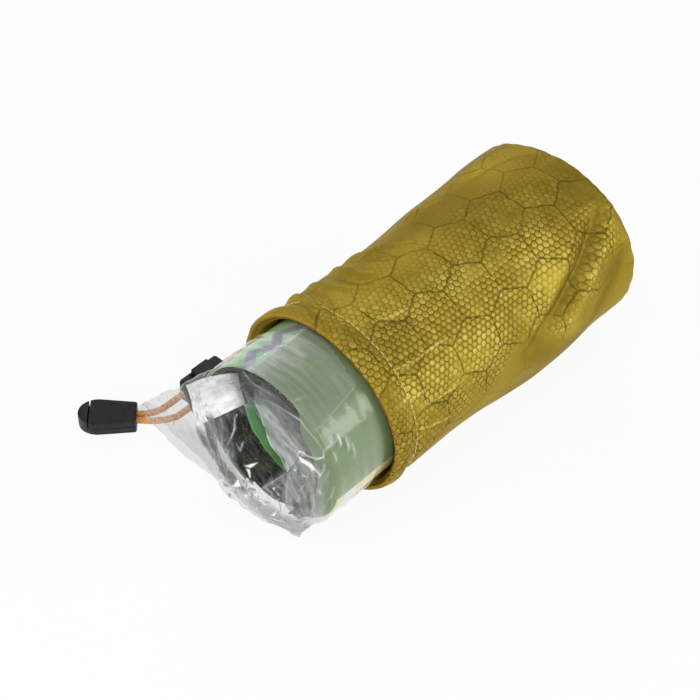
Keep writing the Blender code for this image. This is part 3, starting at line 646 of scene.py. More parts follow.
def honeycomb(made, places, pitch):
    """Distance to the edge of the hexagonal cell around each place, in mm, and the cell's centre."""
    step = (1.0, sqrt(3), 1.0)
    scaled = made.vector("DIVIDE", places, [pitch * size for size in step])
    nearest = []
    for shift in (0.0, 0.5):
        moved = made.vector("FRACTION", made.vector("ADD", scaled, (shift, shift, 0.0)))
        nearest.append(made.stretch(made.vector("SUBTRACT", moved, (0.5, 0.5, 0.0)), *step))
    reach = [made.dot(local, local) for local in nearest]
    local = made.pick(made.math("LESS_THAN", *reach), nearest[1], nearest[0])
    across = made.vector("ABSOLUTE", local)
    straight = made.dot(across, (1.0, 0.0, 0.0))
    slanted = made.dot(across, (0.5, sqrt(3) / 2, 0.0))
    edge = made.math("SUBTRACT", 0.5, made.math("MAXIMUM", straight, slanted)) * pitch
    return edge, made.vector("SUBTRACT", made.stretch(scaled, *step), local)


def cloth_material():
    """Golden olive ripstop: small pillowy cells, large dark outlines, a metallic sheen, painted light and
    shade, painted glints on single cells and painted highlights along narrow folds.
    """
    made = Surface("ripstop_cloth_look")
    whole, around, along = made.flat()
    places = made.node("CombineXYZ", along, around, 0.0)
    for scale, reach in ((0.09, 2.4), (0.5, 0.5)):
        wander = made.vector("SUBTRACT", made.noise(whole, scale, output=1), (0.5, 0.5, 0.5))
        places = made.vector("ADD", places, made.stretch(wander, reach, reach, 0.0))
    small_edge, small_centre = honeycomb(made, places, SMALL_CELL)
    shift = (-LARGE_CENTRE[1] + LARGE_CELL / 2, -LARGE_CENTRE[0] + LARGE_CELL * sqrt(3) / 2, 0.0)
    large_edge = honeycomb(made, made.vector("ADD", places, shift), LARGE_CELL)[0]
    shown = made.attribute("cells")
    painted_light_and_tone = made.attribute("painted_light_and_tone")
    clear = shown * made.ramp(made.noise(whole, 0.055, 3.0), 0.34, 0.54, 0.35, 1.0)
    outline = made.ramp(large_edge, 0.18, 0.52, 1.0, 0.0)
    outline = outline * made.ramp(made.noise(whole, 0.12), 0.3, 0.55, 0.35, 0.70)
    outline = outline * made.ramp(shown, 0.0, 0.5, 0.30, 1.0)
    draw = made.node("TexWhiteNoise", small_centre, noise_dimensions="3D")
    cloud = made.ramp(made.noise(whole, 0.03, 3.0), 0.3, 0.7)
    colour = made.mix(cloud, (0.330, 0.234, 0.026), (0.420, 0.304, 0.036))
    # painted light: lit places of the cloth mixed towards bright gold
    colour = made.mix(made.ramp(painted_light_and_tone, 0.0, 1.0) * 0.55, colour, (0.66, 0.50, 0.075))
    # painted shade: shaded places of the cloth mixed towards dark olive
    colour = made.mix(made.ramp(painted_light_and_tone, 0.0, -1.0) * 0.62, colour, (0.165, 0.115, 0.014))
    # painted highlight: single cells lit up bright gold at random, most where the painted light is strongest
    painted_cell_glint = made.math("POWER", draw, 1.7) * made.ramp(painted_light_and_tone, -0.2, 0.9, 0.45, 1.0) * clear
    colour = made.mix(painted_cell_glint, colour, (0.82, 0.66, 0.13))
    colour = made.mix(made.noise(whole, 1.3, 3.0) * 0.30, colour, (0.22, 0.155, 0.016))
    small_line = made.ramp(small_edge, 0.13, 0.30, 1.0, 0.0)
    colour = made.mix(small_line * clear * 0.85, colour, (0.120, 0.088, 0.008))
    colour = made.mix(outline, colour, (0.095, 0.068, 0.010))
    # painted highlight: a bright gold line along the tops of narrow folds
    painted_crest_highlight = made.ramp(made.attribute("painted_crest_highlight"), 0.25, 0.85) * made.ramp(small_edge, 0.05, 0.30, 0.15, 0.55)
    colour = made.mix(painted_crest_highlight, colour, (0.90, 0.74, 0.20))
    lip = made.ramp(along, -68.9, -67.6, 1.0, 0.0) * made.ramp(made.noise(whole, 0.9), 0.45, 0.62)
    colour = made.mix(lip * 0.45, colour, (0.62, 0.20, 0.03))
    weave = made.math("SINE", along * 22.0) * made.math("SINE", around * 22.0)
    height = made.ramp(small_edge, 0.0, 0.95) * clear - outline * 0.6 + weave * 0.03
    return made.set(Base_Color=colour, Roughness=draw * 0.14 + 0.34, Metallic=0.45,
                    Normal=made.bump(height, 0.34), IOR=1.15, Specular_IOR_Level=0.5,
                    Specular_Tint=(0.85, 0.66, 0.24))


def cord_material():
    """Orange braid with dark red-brown tracer strands and painted shade between the strands."""
    made = Surface("orange_cord_look")
    strand = made.attribute("strand")
    whole, _, along = made.flat()
    tracer = made.math("MAXIMUM", *[made.math("COMPARE", strand, number, 0.5) for number in BRAID_TRACERS])
    tracer = tracer * made.ramp(made.noise(whole, 0.9, 1.0), 0.42, 0.5)
    colour = made.mix(made.noise(whole, 1.4, 3.0), (0.86, 0.27, 0.035), (1.0, 0.50, 0.12))
    # painted shade: darker in the hollows between the braid's strands
    painted_groove_shade = made.ramp(made.attribute("height"), 0.0, 0.55, 0.75, 0.0)
    colour = made.mix(painted_groove_shade, colour, (0.46, 0.085, 0.008))
    colour = made.mix(tracer, colour, (0.20, 0.025, 0.012))
    fibres = made.math("SINE", along * 26.0)
    return made.set(Base_Color=colour, Roughness=0.62, Normal=made.bump(fibres, 0.012),
                    Sheen_Weight=0.25, Sheen_Roughness=0.5)


def plastic_material():
    """Moulded black plastic with a fine sparked texture, and paler edges that are a painted highlight."""
    made = Surface("black_plastic_look")
    places = made.places()
    grain = made.noise(places, 3.2, 4.0, 0.65)
    patch = made.ramp(made.noise(places, 0.35), 0.3, 0.7)
    # painted highlight: paler colour on sharp outer edges
    painted_edge_highlight = made.ramp(made.node("NewGeometry", output=7), 0.52, 0.60)
    colour = made.mix(patch, (0.007, 0.007, 0.008), (0.014, 0.014, 0.015))
    colour = made.mix(painted_edge_highlight * 0.35, colour, (0.075, 0.075, 0.08))
    return made.set(Base_Color=colour, Roughness=grain * 0.18 + 0.30, Specular_IOR_Level=0.16,
                    Normal=made.bump(grain, 0.02))


def steel_material():
    """Drawn spring wire."""
    made = Surface("spring_steel_look")
    drawn = made.noise(made.stretch(made.places(), 1.0, 1.0, 6.0), 2.0, 3.0)
    colour = made.mix(drawn, (0.45, 0.45, 0.46), (0.72, 0.72, 0.73))
    return made.set(Base_Color=colour, Metallic=1.0, Roughness=drawn * 0.2 + 0.2)


def tape_material():
    """Dark twill tape."""
    made = Surface("binding_tape_look")
    twill = made.math("SINE", made.dot(made.places(), (5.0, 9.0, 5.0))) * 0.5 + 0.5
    colour = made.mix(twill, (0.055, 0.048, 0.020), (0.12, 0.105, 0.045))
    return made.set(Base_Color=colour, Roughness=0.8, Normal=made.bump(twill, 0.06))


def thread_material():
    """Light gold twisted thread."""
    made = Surface("gold_thread_look")
    places = made.places()
    twist = made.math("SINE", made.dot(places, (19.0, 24.0, 19.0))) * 0.5 + 0.5
    colour = made.mix(made.noise(places, 0.3), (0.86, 0.68, 0.20), (1.0, 0.86, 0.36))
    colour = made.mix(twist * 0.3, colour, (0.40, 0.28, 0.05))
    return made.set(Base_Color=colour, Roughness=0.5, Normal=made.bump(twist, 0.04), Sheen_Weight=0.2)


def film_roll_material():
    """Crumpled dark green film with silvery glints."""
    made = Surface("green_film_look")
    places = made.places()
    stretched = made.stretch(places, 1.0, 0.35, 1.0)
    cloud = made.noise(stretched, 0.22, 4.0, 0.6)
    glint = made.ramp(made.noise(stretched, 0.75, 3.0, 0.6), 0.56, 0.66)
    colour = made.mix(made.ramp(cloud, 0.35, 0.65), (0.006, 0.010, 0.003), (0.046, 0.062, 0.012))
    colour = made.mix(glint * 0.32, colour, (0.44, 0.50, 0.38))
    return made.set(Base_Color=colour, Roughness=cloud * 0.25 + 0.12, Metallic=0.65,
                    Normal=made.bump(made.noise(places, 0.55, 3.0), 0.5))


def tongue_material():
    """Bright green film with a paler rim."""
    made = Surface("bright_green_film_look")
    whole, around, _ = made.flat()
    colour = made.mix(made.ramp(around, 3.0, 8.0), (0.030, 0.250, 0.018), (0.010, 0.080, 0.007))
    colour = made.mix(made.noise(whole, 0.6, 3.0) * 0.4, colour, (0.02, 0.14, 0.012))
    colour = made.mix(made.ramp(around, 1.0, 1.9, 1.0, 0.0) * 0.8, colour, (0.18, 0.52, 0.13))
    return made.set(Base_Color=colour, Roughness=0.38, Specular_IOR_Level=0.15)


def card_material():
    """Sage green printed card, semi-gloss, with a plain yellow stripe and simple peaks at one side."""
    made = Surface("printed_card_look")
    whole, around, along = made.flat()
    base = made.ramp(made.noise(whole, 0.05), 0.3, 0.7)
    base = made.mix(base, (0.198, 0.282, 0.126), (0.238, 0.328, 0.152))
    mint = made.mix(made.ramp(along, -96.0, -60.0), (0.38, 0.66, 0.36), (0.46, 0.72, 0.44))
    colour = made.mix(made.ramp(around, 62.0, 62.6), base, mint)
    ridge = around + made.math("PINGPONG", along + 200.0, 7.0)
    colour = made.mix(made.band(ridge, 69.0, 75.0, 0.4), colour, (0.36, 0.34, 0.43))
    dots = made.vector("FRACTION", made.vector("DIVIDE", whole, (15.0, 14.0, 1.0)))
    dots = made.stretch(made.vector("SUBTRACT", dots, (0.5, 0.5, 0.0)), 15.0, 14.0, 0.0)
    far = made.vector("LENGTH", dots, output=1)
    disc = made.ramp(far, 1.9, 2.1, 1.0, 0.0) * made.ramp(around, 80.0, 80.4)
    colour = made.mix(disc, colour, (0.10, 0.10, 0.11))
    stripe = made.band(around, -19.3, -6.3, 0.3) * made.ramp(along, CARD_FRONT + 1.0, CARD_FRONT + 1.4)
    yellow = made.mix(made.band(along, -92.0, -86.0, 0.4), (0.82, 0.76, 0.33), (0.86, 0.86, 0.82))
    colour = made.mix(stripe, colour, yellow)
    fibre = made.noise(whole, 0.8, 3.0)
    return made.set(Base_Color=colour, Roughness=fibre * 0.08 + 0.30, Normal=made.bump(fibre, 0.01))


def film_material():
    """Thin clear film: see-through, with sharp reflections, and milky where it is creased or doubled; the milky
    white also paints highlights along creases and glints, and painted shade darkens its see-through tint.
    """
    made = Surface("clear_film_look")
    whole = made.flat()[0]
    haze_and_painted_glint = made.attribute("haze_and_painted_glint")
    grey = made.attribute("grey")
    facing = made.node("LayerWeight", 0.5, output=1)
    shine = made.math("POWER", facing, 4.0) * 0.75 + 0.028
    shine = shine * made.ramp(made.attribute("calm"), 0.0, 1.0, 1.0, 0.35)
    cloud = made.ramp(made.noise(made.places(), 0.10, 3.0), 0.32, 0.68, 0.80, 1.15)
    streak = made.noise(made.stretch(whole, 0.12, 1.0, 1.0), 0.55, 3.0)
    milk_and_painted_glint = haze_and_painted_glint * made.ramp(streak, 0.35, 0.7, 0.70, 1.30) * cloud
    tint = made.mix(grey, (0.975, 0.978, 0.976), (0.78, 0.775, 0.765))
    # painted shade: the see-through tint darkened where the dark value is high
    tint = made.mix(made.attribute("dark"), tint, (0.10, 0.105, 0.095))
    white = made.mix(made.ramp(haze_and_painted_glint, 0.50, 0.90), (0.56, 0.60, 0.575), (0.95, 0.96, 0.955))
    clear = made.node("BsdfTransparent", tint)
    milk = made.node("BsdfDiffuse", white, 0.0)
    gloss = made.node("BsdfGlossy", WHITE, made.ramp(grey, 0.0, 0.3, 0.15, 0.05))
    body = made.node("MixShader", made.math("MINIMUM", milk_and_painted_glint, 0.97), clear, milk)
    return made.instead(made.node("MixShader", shine, body, gloss))


def strip_material():
    """Whitish translucent strip, densest along its lower edge and crinkled at its left end, with painted shade
    along the crinkles.
    """
    made = Surface("whitish_strip_look")
    whole, around, along = made.flat()
    sockets = {"Vector": made.stretch(whole, 1.0, 0.35, 1.0), "Scale": 0.55}
    crinkle = made.node("TexVoronoi", named=sockets, feature="DISTANCE_TO_EDGE")
    # painted shade: dark lines along the crinkles, strongest at the left end
    dark = made.ramp(crinkle, 0.02, 0.10, 1.0, 0.0) * made.ramp(around, 3.0, 12.0, 0.45, 0.06)
    colour = made.mix(dark, (0.95, 0.965, 0.965), (0.20, 0.22, 0.25))
    dense = made.ramp(along, 7.0, 12.5, 0.62, 0.97) * made.ramp(around, 24.0, 36.0, 1.0, 0.18)
    cloud = made.ramp(made.noise(made.stretch(whole, 0.3, 1.0, 1.0), 0.4, 3.0), 0.35, 0.65, 0.75, 1.1)
    alpha = made.math("MINIMUM", dense * cloud, 0.98)
    return made.set(Base_Color=colour, Roughness=0.16, Alpha=alpha,
                    Normal=made.bump(made.noise(whole, 0.5, 3.0), 0.2))


def sack_angles(count):
    return SEAM_ANGLE - 2 * pi + 2 * pi * np.arange(count) / count


def swells(y, angle, table):
    """The soft rises of a table, each round one place along the sack and one angle about it."""
    total = 0.0
    for height, place, spread, centre in table:
        facing = np.maximum(0.0, np.cos(angle - radians(centre)))
        total = total + height * bell(y - place, spread) * facing ** 2
    return total


def unrolled(line):
    """Places (y in mm, angle in degrees) as places on the sack's unrolled cloth, in mm."""
    return [(y, turn * radians(SACK_RADIUS)) for y, turn in line]


def on_tube(angle, y):
    """Points of a plain tube, for unevenness that runs on all the way round."""
    return np.stack((SACK_RADIUS * np.cos(angle), y, SACK_RADIUS * np.sin(angle)), axis=-1)


def relief(angle, y):
    """How far the cloth stands out from its plain shape: folds, puckers at the seams, and unevenness."""
    flat = np.stack((y, np.degrees(angle)), axis=-1) * (1.0, radians(SACK_RADIUS))
    total = np.zeros_like(y)
    for height, half_width, line in SACK_FOLDS:
        total += fold(flat, height, half_width, unrolled(line))
    solid = on_tube(angle, y)
    long = solid * (1.0, 0.45, 1.0)
    total += 0.22 * waves(long, 19.0, 11) + 0.09 * waves(long, 7.5, 12)
    total += 0.10 * bell(y - STITCH_Y, 3.0) * np.sin(61 * angle + 2 * waves(solid, 22.0, 13))
    total += 0.12 * bell(y - BASE_Y, 7.0) * np.sin(37 * angle + 3 * waves(solid, 30.0, 14))
    seam = np.abs(turned(angle, SEAM_ANGLE)) * SACK_RADIUS
    total -= 0.45 * bell(seam, 0.9)
    total += 0.16 * bell(seam, 4.0) * np.sin(1.3 * y + waves(solid, 15.0, 15))
    return total * unit((np.sin(angle) + 1.0) / 0.12)


def belly_rise(y):
    """How far the flattened belly rises from the floor towards the sack's ends."""
    return BELLY_RISE * np.maximum(0.0, (np.abs(y) - (BASE_Y - BELLY_END)) / BELLY_END)


def sack_places(angle, y, below):
    """Points of the sack's cloth at a depth under its outer skin, kept above the flattened belly."""
    bead = CORD_BEAD * bell(y - CORD_Y, BEAD_SPREAD)
    dimple = STITCH_DIMPLE * bell(y - STITCH_Y, DIMPLE_SPREAD)
    form = swells(y, angle, BULGES) + swells(y, angle, EASES)
    radius = SACK_RADIUS + form + bead - dimple - below + relief(angle, y)
    height = np.maximum(AXIS_Z + radius * np.sin(angle), below + dimple + belly_rise(y))
    return np.stack((radius * np.cos(angle), y, height), axis=-1)


def plain_cloth(angle, y, below):
    """Points of the sack's cloth without its folds, for what lies inside it."""
    radius = SACK_RADIUS + swells(y, angle, BULGES) - below
    height = np.maximum(AXIS_Z + radius * np.sin(angle), below + belly_rise(y))
    return np.stack((radius * np.cos(angle), y, height), axis=-1)


def around_sack(line, count=SACK_STEPS):
    """Angle, y and depth of a section (y, depth) at every angle about the sack."""
    line = np.array(line)
    angle, y = np.meshgrid(sack_angles(count), line[:, 0])
    return angle, y, np.repeat(line[:, 1:2], count, axis=1)


def lip_gap(y):
    """Distance between the middles of the hem's two layers: a lens round the cord, open at the lip."""
    lens = (CORD + 2 * GAP) * sqrt(max(0.0, 1 - ((y - CORD_Y) / TUNNEL_HALF) ** 2))
    edge = 1.5 * bell(y - LIP_Y, 2.2)
    return CLOTH + max(GAP + lens, edge)


def wall_line():
    """The wall's section as (y, depth under the outer skin), from the base seam to the hem's inner end."""
    skin = CLOTH / 2
    reach = CORNER_DEPTH / 2
    line = [(BASE_Y - SEAM_ALLOWANCE + ALLOWANCE_STEP * step, skin + CORNER_DEPTH) for step in range(3)]
    for step in range(13):
        turn = pi * step / 12
        line.append((BASE_Y - CORNER + (CORNER - CLOTH) * sin(turn), skin + reach + reach * cos(turn)))
    start = BASE_Y - 2 * CORNER
    count = round((start - HEM_END) / BODY_STEP)
    line += [(start + (HEM_END - start) * step / count, skin) for step in range(count)]
    hem = np.linspace(HEM_END, LIP_Y + LIP_ROUND, 22)
    line += [(y, skin) for y in hem]
    lip = lip_gap(hem[-1])
    for step in range(1, 8):
        turn = pi * step / 8
        line.append((hem[-1] - LIP_NOSE * sin(turn), skin + lip * (1 - cos(turn)) / 2))
    line += [(y, skin + lip_gap(y)) for y in hem[::-1]]
    return line


def cloth_masks(angle, y):
    """Where the honeycomb shows (0 to 1), the cloth's painted light (to 1) and shade (to -1) over a random
    unevenness, and painted highlights along narrow folds.
    """
    degrees = (np.degrees(angle) + 180.0) % 360.0 - 180.0
    below = np.interp(y, *np.array(CELLS_BELOW, float).T)
    above = np.interp(y, *np.array(CELLS_ABOVE, float).T)
    solid = on_tube(angle, y)
    ragged = 7.0 * waves(solid, 16.0, 16)
    cells = np.clip((degrees - below + ragged) / 12.0, 0.12, 1.0)
    cells = cells * np.clip((above + 14.0 - degrees + ragged) / 60.0, 0.20, 1.0)
    flat = np.stack((y, degrees * radians(SACK_RADIUS)), axis=-1)
    # a random unevenness, with the painted light and shade of the table added over it
    painted_light_and_tone = 0.22 * waves(solid, 26.0, 17)
    for strength, half_width, line in PAINTED_CLOTH_LIGHT:
        painted_light_and_tone = painted_light_and_tone + strength * bell(near_line(flat, unrolled(line))[0], half_width)
    painted_crest_highlight = np.zeros_like(painted_light_and_tone)
    for height, half_width, line in SACK_FOLDS:
        if height > 0 and half_width < CREST_HIGHLIGHT_WIDEST:
            painted_crest_highlight = np.maximum(painted_crest_highlight, fold(flat, 1.0, CREST_HIGHLIGHT_HALF, unrolled(line)))
    valley = near_line(flat, unrolled(PAINTED_CLOTH_LIGHT[0][2]))[0]
    cells = cells * (1.0 - 0.75 * bell(valley, 3.0))
    cells = np.maximum(cells, 0.65 * between(degrees % 360.0, 152.0, 322.0, 20.0))
    return {"cells": cells, "painted_light_and_tone": np.clip(painted_light_and_tone, -1.0, 1.0), "painted_crest_highlight": painted_crest_highlight}


def make_sack_wall(surface):
    """The sack's cloth tube with its turned-in hem."""
    line = wall_line()
    angle, y, below = around_sack(line)
    along = reaches(line)
    turning = along[np.abs(below[:, 0] - CLOTH / 2) < 0.01][0]
    around = np.append(sack_angles(SACK_STEPS), SEAM_ANGLE) * SACK_RADIUS
    flat = np.stack(np.meshgrid(around, BASE_Y - CORNER - (along - turning)), axis=-1)
    wall = grid_object("sack_cloth", sack_places(angle, y, below), surface, "sack", wrap=True, flat=flat)
    add_values(wall, cloth_masks(angle, y))
    thicken(wall, CLOTH_SKIN)
    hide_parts("sack_wall")


def make_sack_base(surface):
    """The round base panel, gathered a little into its seam."""
    depth = CLOTH + CORNER_DEPTH + GAP + CLOTH / 2
    face = BASE_Y - CLOTH / 2
    start = BASE_Y - CORNER
    line = [(BASE_Y - SEAM_ALLOWANCE + ALLOWANCE_STEP * step, depth) for step in range(3)]
    for step in range(9):
        turn = pi / 2 * step / 8
        line.append((start + (face - start) * sin(turn), depth + CORNER * (1 - cos(turn))))
    line += [(face, below) for below in np.linspace(BASE_FLAT, SACK_RADIUS - 0.4, 26)]
    angle, y, below = around_sack(line)
    rim = sack_places(angle, y, below)
    radius = SACK_RADIUS - below
    places = np.stack((radius * np.cos(angle), y, AXIS_Z + radius * np.sin(angle)), axis=-1)
    places = rim + (places - rim) * unit((below - depth) / BASE_BLEND)[..., None]
    inward = unit((below - depth - CORNER) / 6.0)
    places[..., 1] -= BASE_SAG * inward + BASE_PUCKER * bell(below - 7.0, 4.0) * (1 + np.sin(37 * angle))
    places[..., 1] += BASE_WAVE * inward * waves(places * (1.0, 0.0, 1.0), 21.0, 21)
    places[..., 2] = np.maximum(places[..., 2], below + 0.2)
    flat = np.stack((places[..., 0], places[..., 2]), axis=-1)
    flat = np.concatenate((flat, flat[:, :1]), axis=1)
    base = grid_object("sack_base_panel", places, surface, "sack", wrap=True, flat=flat,
                       caps=(len(line) - 1,))
    add_values(base, {"cells": np.full_like(below, BASE_CELLS)})
    thicken(base, CLOTH_SKIN)
    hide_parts("sack_base")


def make_binding(surface):
    """The tape over the raw edges of the base seam."""
    outer_leg = CORNER_DEPTH - GAP - CLOTH / 2
    inner_leg = CLOTH + CORNER_DEPTH + GAP + CLOTH + GAP + CLOTH / 2
    edge = BASE_Y - SEAM_ALLOWANCE
    half = (inner_leg - outer_leg) / 2
    line = [(edge + TAPE_LEG - step, outer_leg) for step in range(5)]
    for step in range(1, 8):
        turn = pi * step / 8
        line.append((edge - (GAP + CLOTH) * sin(turn), outer_leg + half * (1 - cos(turn))))
    line += [(edge + step, inner_leg) for step in range(5)]
    places = sack_places(*around_sack(line, TAPE_STEPS))
    tape = grid_object("base_seam_tape", places, surface, "sack", wrap=True)
    thicken(tape, CLOTH_SKIN)
    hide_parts("base_seam_binding")


def make_side_seam(surface):
    """The folded allowance of the wall's lengthwise seam, pressed flat inside the sack."""
    turn, below = np.array(SEAM_SECTION).T
    ys = np.linspace(HEM_END + 2 * GAP, BASE_Y - SEAM_ALLOWANCE - 4.0, SEAM_ROWS)
    angle, y = np.meshgrid(SEAM_ANGLE + np.radians(turn), ys)
    depth = below + 0.05 * (1 + waves(np.stack((y, angle), axis=-1), 6.0, 31))
    seam = grid_object("side_seam_allowance", plain_cloth(angle, y, depth), surface, "sack", wrap=True,
                       caps=(0, SEAM_ROWS - 1))
    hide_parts("side_seam")


def make_stitches(surface):
    """The dashes of thread that close the drawcord tunnel."""
    draw = np.random.default_rng(41)
    share = np.linspace(0.0, 1.0, STITCH_RINGS)
    lift = STITCH_LIFT * np.sin(pi * share) ** 0.5 - STITCH_SINK
    thick = STITCH_THICK * (0.35 + 0.65 * np.sin(pi * share) ** 0.35)
    turn = 2 * pi * np.arange(STITCH_SIDES)[:, None] / STITCH_SIDES
    one = grid_faces(STITCH_RINGS, STITCH_SIDES, wrap=True)[0].tolist()
    size = STITCH_RINGS * STITCH_SIDES
    one += [list(range(STITCH_SIDES)), list(range(size - STITCH_SIDES, size))]
    points = []
    faces = []
    for stitch in range(STITCHES):
        start = 2 * pi * stitch / STITCHES + SEAM_ANGLE
        length = 2 * pi / STITCHES * draw.uniform(*STITCH_SHARE)
        drift = draw.uniform(-STITCH_DRIFT, STITCH_DRIFT, 2)
        angle = start + length * share
        centre = sack_places(angle, STITCH_Y + drift[0] + (drift[1] - drift[0]) * share, -lift)
        along = directions(np.gradient(centre, axis=0))
        out = np.stack((np.cos(angle), 0 * angle, np.sin(angle)), axis=-1)
        offset = np.cos(turn) * out[:, None] + np.sin(turn) * np.cross(along, out)[:, None]
        points.append(centre[:, None] + thick[:, None, None] * offset)
        faces += [[stitch * size + corner for corner in face] for face in one]
    stitches = new_object("hem_stitches", np.array(points), faces, surface, "sack")
    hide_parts("hem_thread")


def path_frames(path):
    """Two directions across a path at each of its points, carried along without twist."""
    along = directions(np.gradient(path, axis=0))
    across = np.cross(along[0], (0.0, 0.0, 1.0))
    sides = []
    for direction in along:
        across = directions(across - direction * (across @ direction))
        sides.append(across)
    return np.array(sides), np.cross(along, sides)


def braid(turn, along):
    """Height of a braid's surface (0 to 1) and the number of the strand that lies on top."""
    right = turn * BRAID_STRANDS / (2 * pi) + along * BRAID_STRANDS / BRAID_PITCH
    left = turn * BRAID_STRANDS / (2 * pi) - along * BRAID_STRANDS / BRAID_PITCH
    upper = (np.floor(right) + np.floor(left)) % 2 < 1
    width = np.where(upper, right, left) % 1.0
    length = np.where(upper, left, right) % 1.0
    height = np.sin(pi * width) ** 0.6 * (0.45 + 0.55 * np.sin(pi * length) ** 0.7)
    strand = np.where(upper, np.floor(right) % BRAID_STRANDS, BRAID_STRANDS + np.floor(left) % BRAID_STRANDS)
    return height, strand


def braided_cord(name, path, surface, body):
    """A round cord with its braid modelled along a path in mm."""
    sides, ups = path_frames(path)
    reach = reaches(path)
    turn = 2 * pi * np.arange(CORD_SIDES) / CORD_SIDES
    turns, along = np.meshgrid(turn, reach)
    height, strand = braid(turns, along)
    radius = (CORD / 2 - BRAID_RELIEF * (1 - height))[..., None]
    offset = np.cos(turns)[..., None] * sides[:, None] + np.sin(turns)[..., None] * ups[:, None]
    flat = np.stack(np.meshgrid(np.append(turn, 2 * pi) * CORD / 2, reach), axis=-1)
    cord = grid_object(name, path[:, None] + radius * offset, surface, body, wrap=True, flat=flat,
                       caps=(0, len(path) - 1))
    add_values(cord, {"strand": strand, "height": height})
    return cord


def slot_exit(side):
    """Where a tail leaves the hem, beside the middle of its slot."""
    radius = SACK_RADIUS + CORD_BEAD - CLOTH
    middle = np.array((radius * cos(SEAM_ANGLE), CORD_Y, AXIS_Z + radius * sin(SEAM_ANGLE)))
    return middle + np.array((sin(SEAM_ANGLE), 0.0, -cos(SEAM_ANGLE))) * side * SLOT_CORD_OFFSET


def clip_place(along, across):
    """A point of the cord end where its halves meet, counted along it from its tail and across it."""
    ahead = np.array((cos(CLIP_DIRECTION), sin(CLIP_DIRECTION), 0.0))
    left = np.array((-ahead[1], ahead[0], 0.0))
    return np.array((*CLIP_TAIL, CLIP_SPLIT)) + ahead * along + left * across


def make_tail(name, side, loop, bend, surface):
    """One free end of the drawcord: hem, loop, lock, bend and cord end."""
    bore_x = LOCK_X - side * LOCK_CORD_OFFSET
    stops = (LOCK_REAR + GAP, (LOCK_REAR + LOCK_FRONT) / 2, LOCK_FRONT - LOCK_SLIDE - GAP)
    through = [(bore_x, y, LOCK_CORD_Z) for y in stops]
    held = [clip_place(reach, -side * CLIP_CORD_OFFSET) for reach in (0.0, CLIP_HOLD)]
    path = smooth_path([slot_exit(side), *loop, *through, *bend, *held], CORD_STEP)
    tail = braided_cord(name + "_braid", path, surface, "sack")
    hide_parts(name)


def make_cord_loop(surface):
    """The drawcord inside the hem."""
    middle = CLOTH + GAP + CORD / 2
    open_half = CORD / 4 / (SACK_RADIUS + CORD_BEAD - middle)
    angle = np.linspace(SEAM_ANGLE + open_half, SEAM_ANGLE + 2 * pi - open_half, 720) - 2 * pi
    places = sack_places(angle, np.full_like(angle, CORD_Y), np.full_like(angle, middle))
    loop = braided_cord("drawcord_in_hem", places, surface, "sack")
    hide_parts("drawcord_loop")


def pack_places(angle, y, radius):
    """Points of the rolled pack, each layer a little flat where it lies on the sack and round in front."""
    inside = unit((y - ROUND_FROM) / ROUND_EASE)
    lowest = PACK_AXIS_Z - radius * (1 - PACK_FLATTEN * inside)
    height = np.maximum(PACK_AXIS_Z + radius * np.sin(angle), lowest)
    return np.stack((radius * np.cos(angle), y + 0 * angle, height), axis=-1)


def make_roll(surface):
    """The sleeping bag: three layers of crumpled film wound together into a spiral with a recessed middle."""
    finish = ROLL_RADIUS - ROLL_SHEET / 2
    turns = (finish - ROLL_CORE) / ROLL_PITCH
    share = np.linspace(0.0, 1.0, round(turns * ROLL_STEPS))
    turn, depth = np.meshgrid(ROLL_END_ANGLE + 2 * pi * turns * (share - 1), ROLL_DEPTHS)
    strip = np.stack((share * turns * 60.0 + 0 * depth, depth), axis=-1)
    gap = bell(turned(turn, GAP_ANGLE), GAP_SPREAD) * (share > GAP_SHARE)
    loose = CRUMPLE * np.exp(-depth / CRUMPLE_DEPTH)
    layers = []
    for number, offset in enumerate(ROLL_LAYERS):
        radius = ROLL_CORE + (finish - ROLL_CORE) * share + offset
        width = radius + loose * facets(strip, 7.0, 51 + number) + GAP_SWELL * gap
        recess = TELESCOPE * (1 - radius / ROLL_RADIUS)
        front = RUFFLE[0] + RUFFLE[1] * wrapped(facets(strip[0], 6.0, 61 + number)) * (1.0 - gap[0])
        y = ROLL_FRONT + recess + depth + (front + recess * 0.3) * np.exp(-depth / RUFFLE_DEPTH)
        places = pack_places(turn, y, np.minimum(width, finish + ROLL_SLACK + GAP_SWELL * gap))
        layers.append(grid_object(f"film_layer_{number}", places, surface, "inner_pack"))
    roll = join("sleeping_bag_film_roll", layers)
    thicken(roll, FILM_SKIN)
    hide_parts("sleeping_bag_roll")


def make_tongue(surface):
    """The bright green film at the roll's end, curled."""
    edges = [smooth_path([(x, ROLL_FRONT + back, z) for x, z in line], TONGUE_STEP)
             for line, back in zip((TONGUE_LEFT, TONGUE_RIGHT), TONGUE_BACK)]
    count = min(len(edge) for edge in edges)
    left, right = (edge[np.linspace(0, len(edge) - 1, count).astype(int)][:, None] for edge in edges)
    across = np.linspace(0.0, 1.0, TONGUE_COLUMNS)
    places = left * (1 - across[:, None]) + right * across[:, None]
    places[..., 1] -= TONGUE_BULGE * np.sin(pi * across) ** 0.8 - TONGUE_WAVE * waves(places, 7.0, 111)
    flat = np.stack(np.meshgrid(TONGUE_WIDTH * across, TONGUE_STEP * np.arange(count)), axis=-1)
    tongue = grid_object("green_film_edge", places, surface, "inner_pack", flat=flat)
    thicken(tongue, FILM_SKIN)


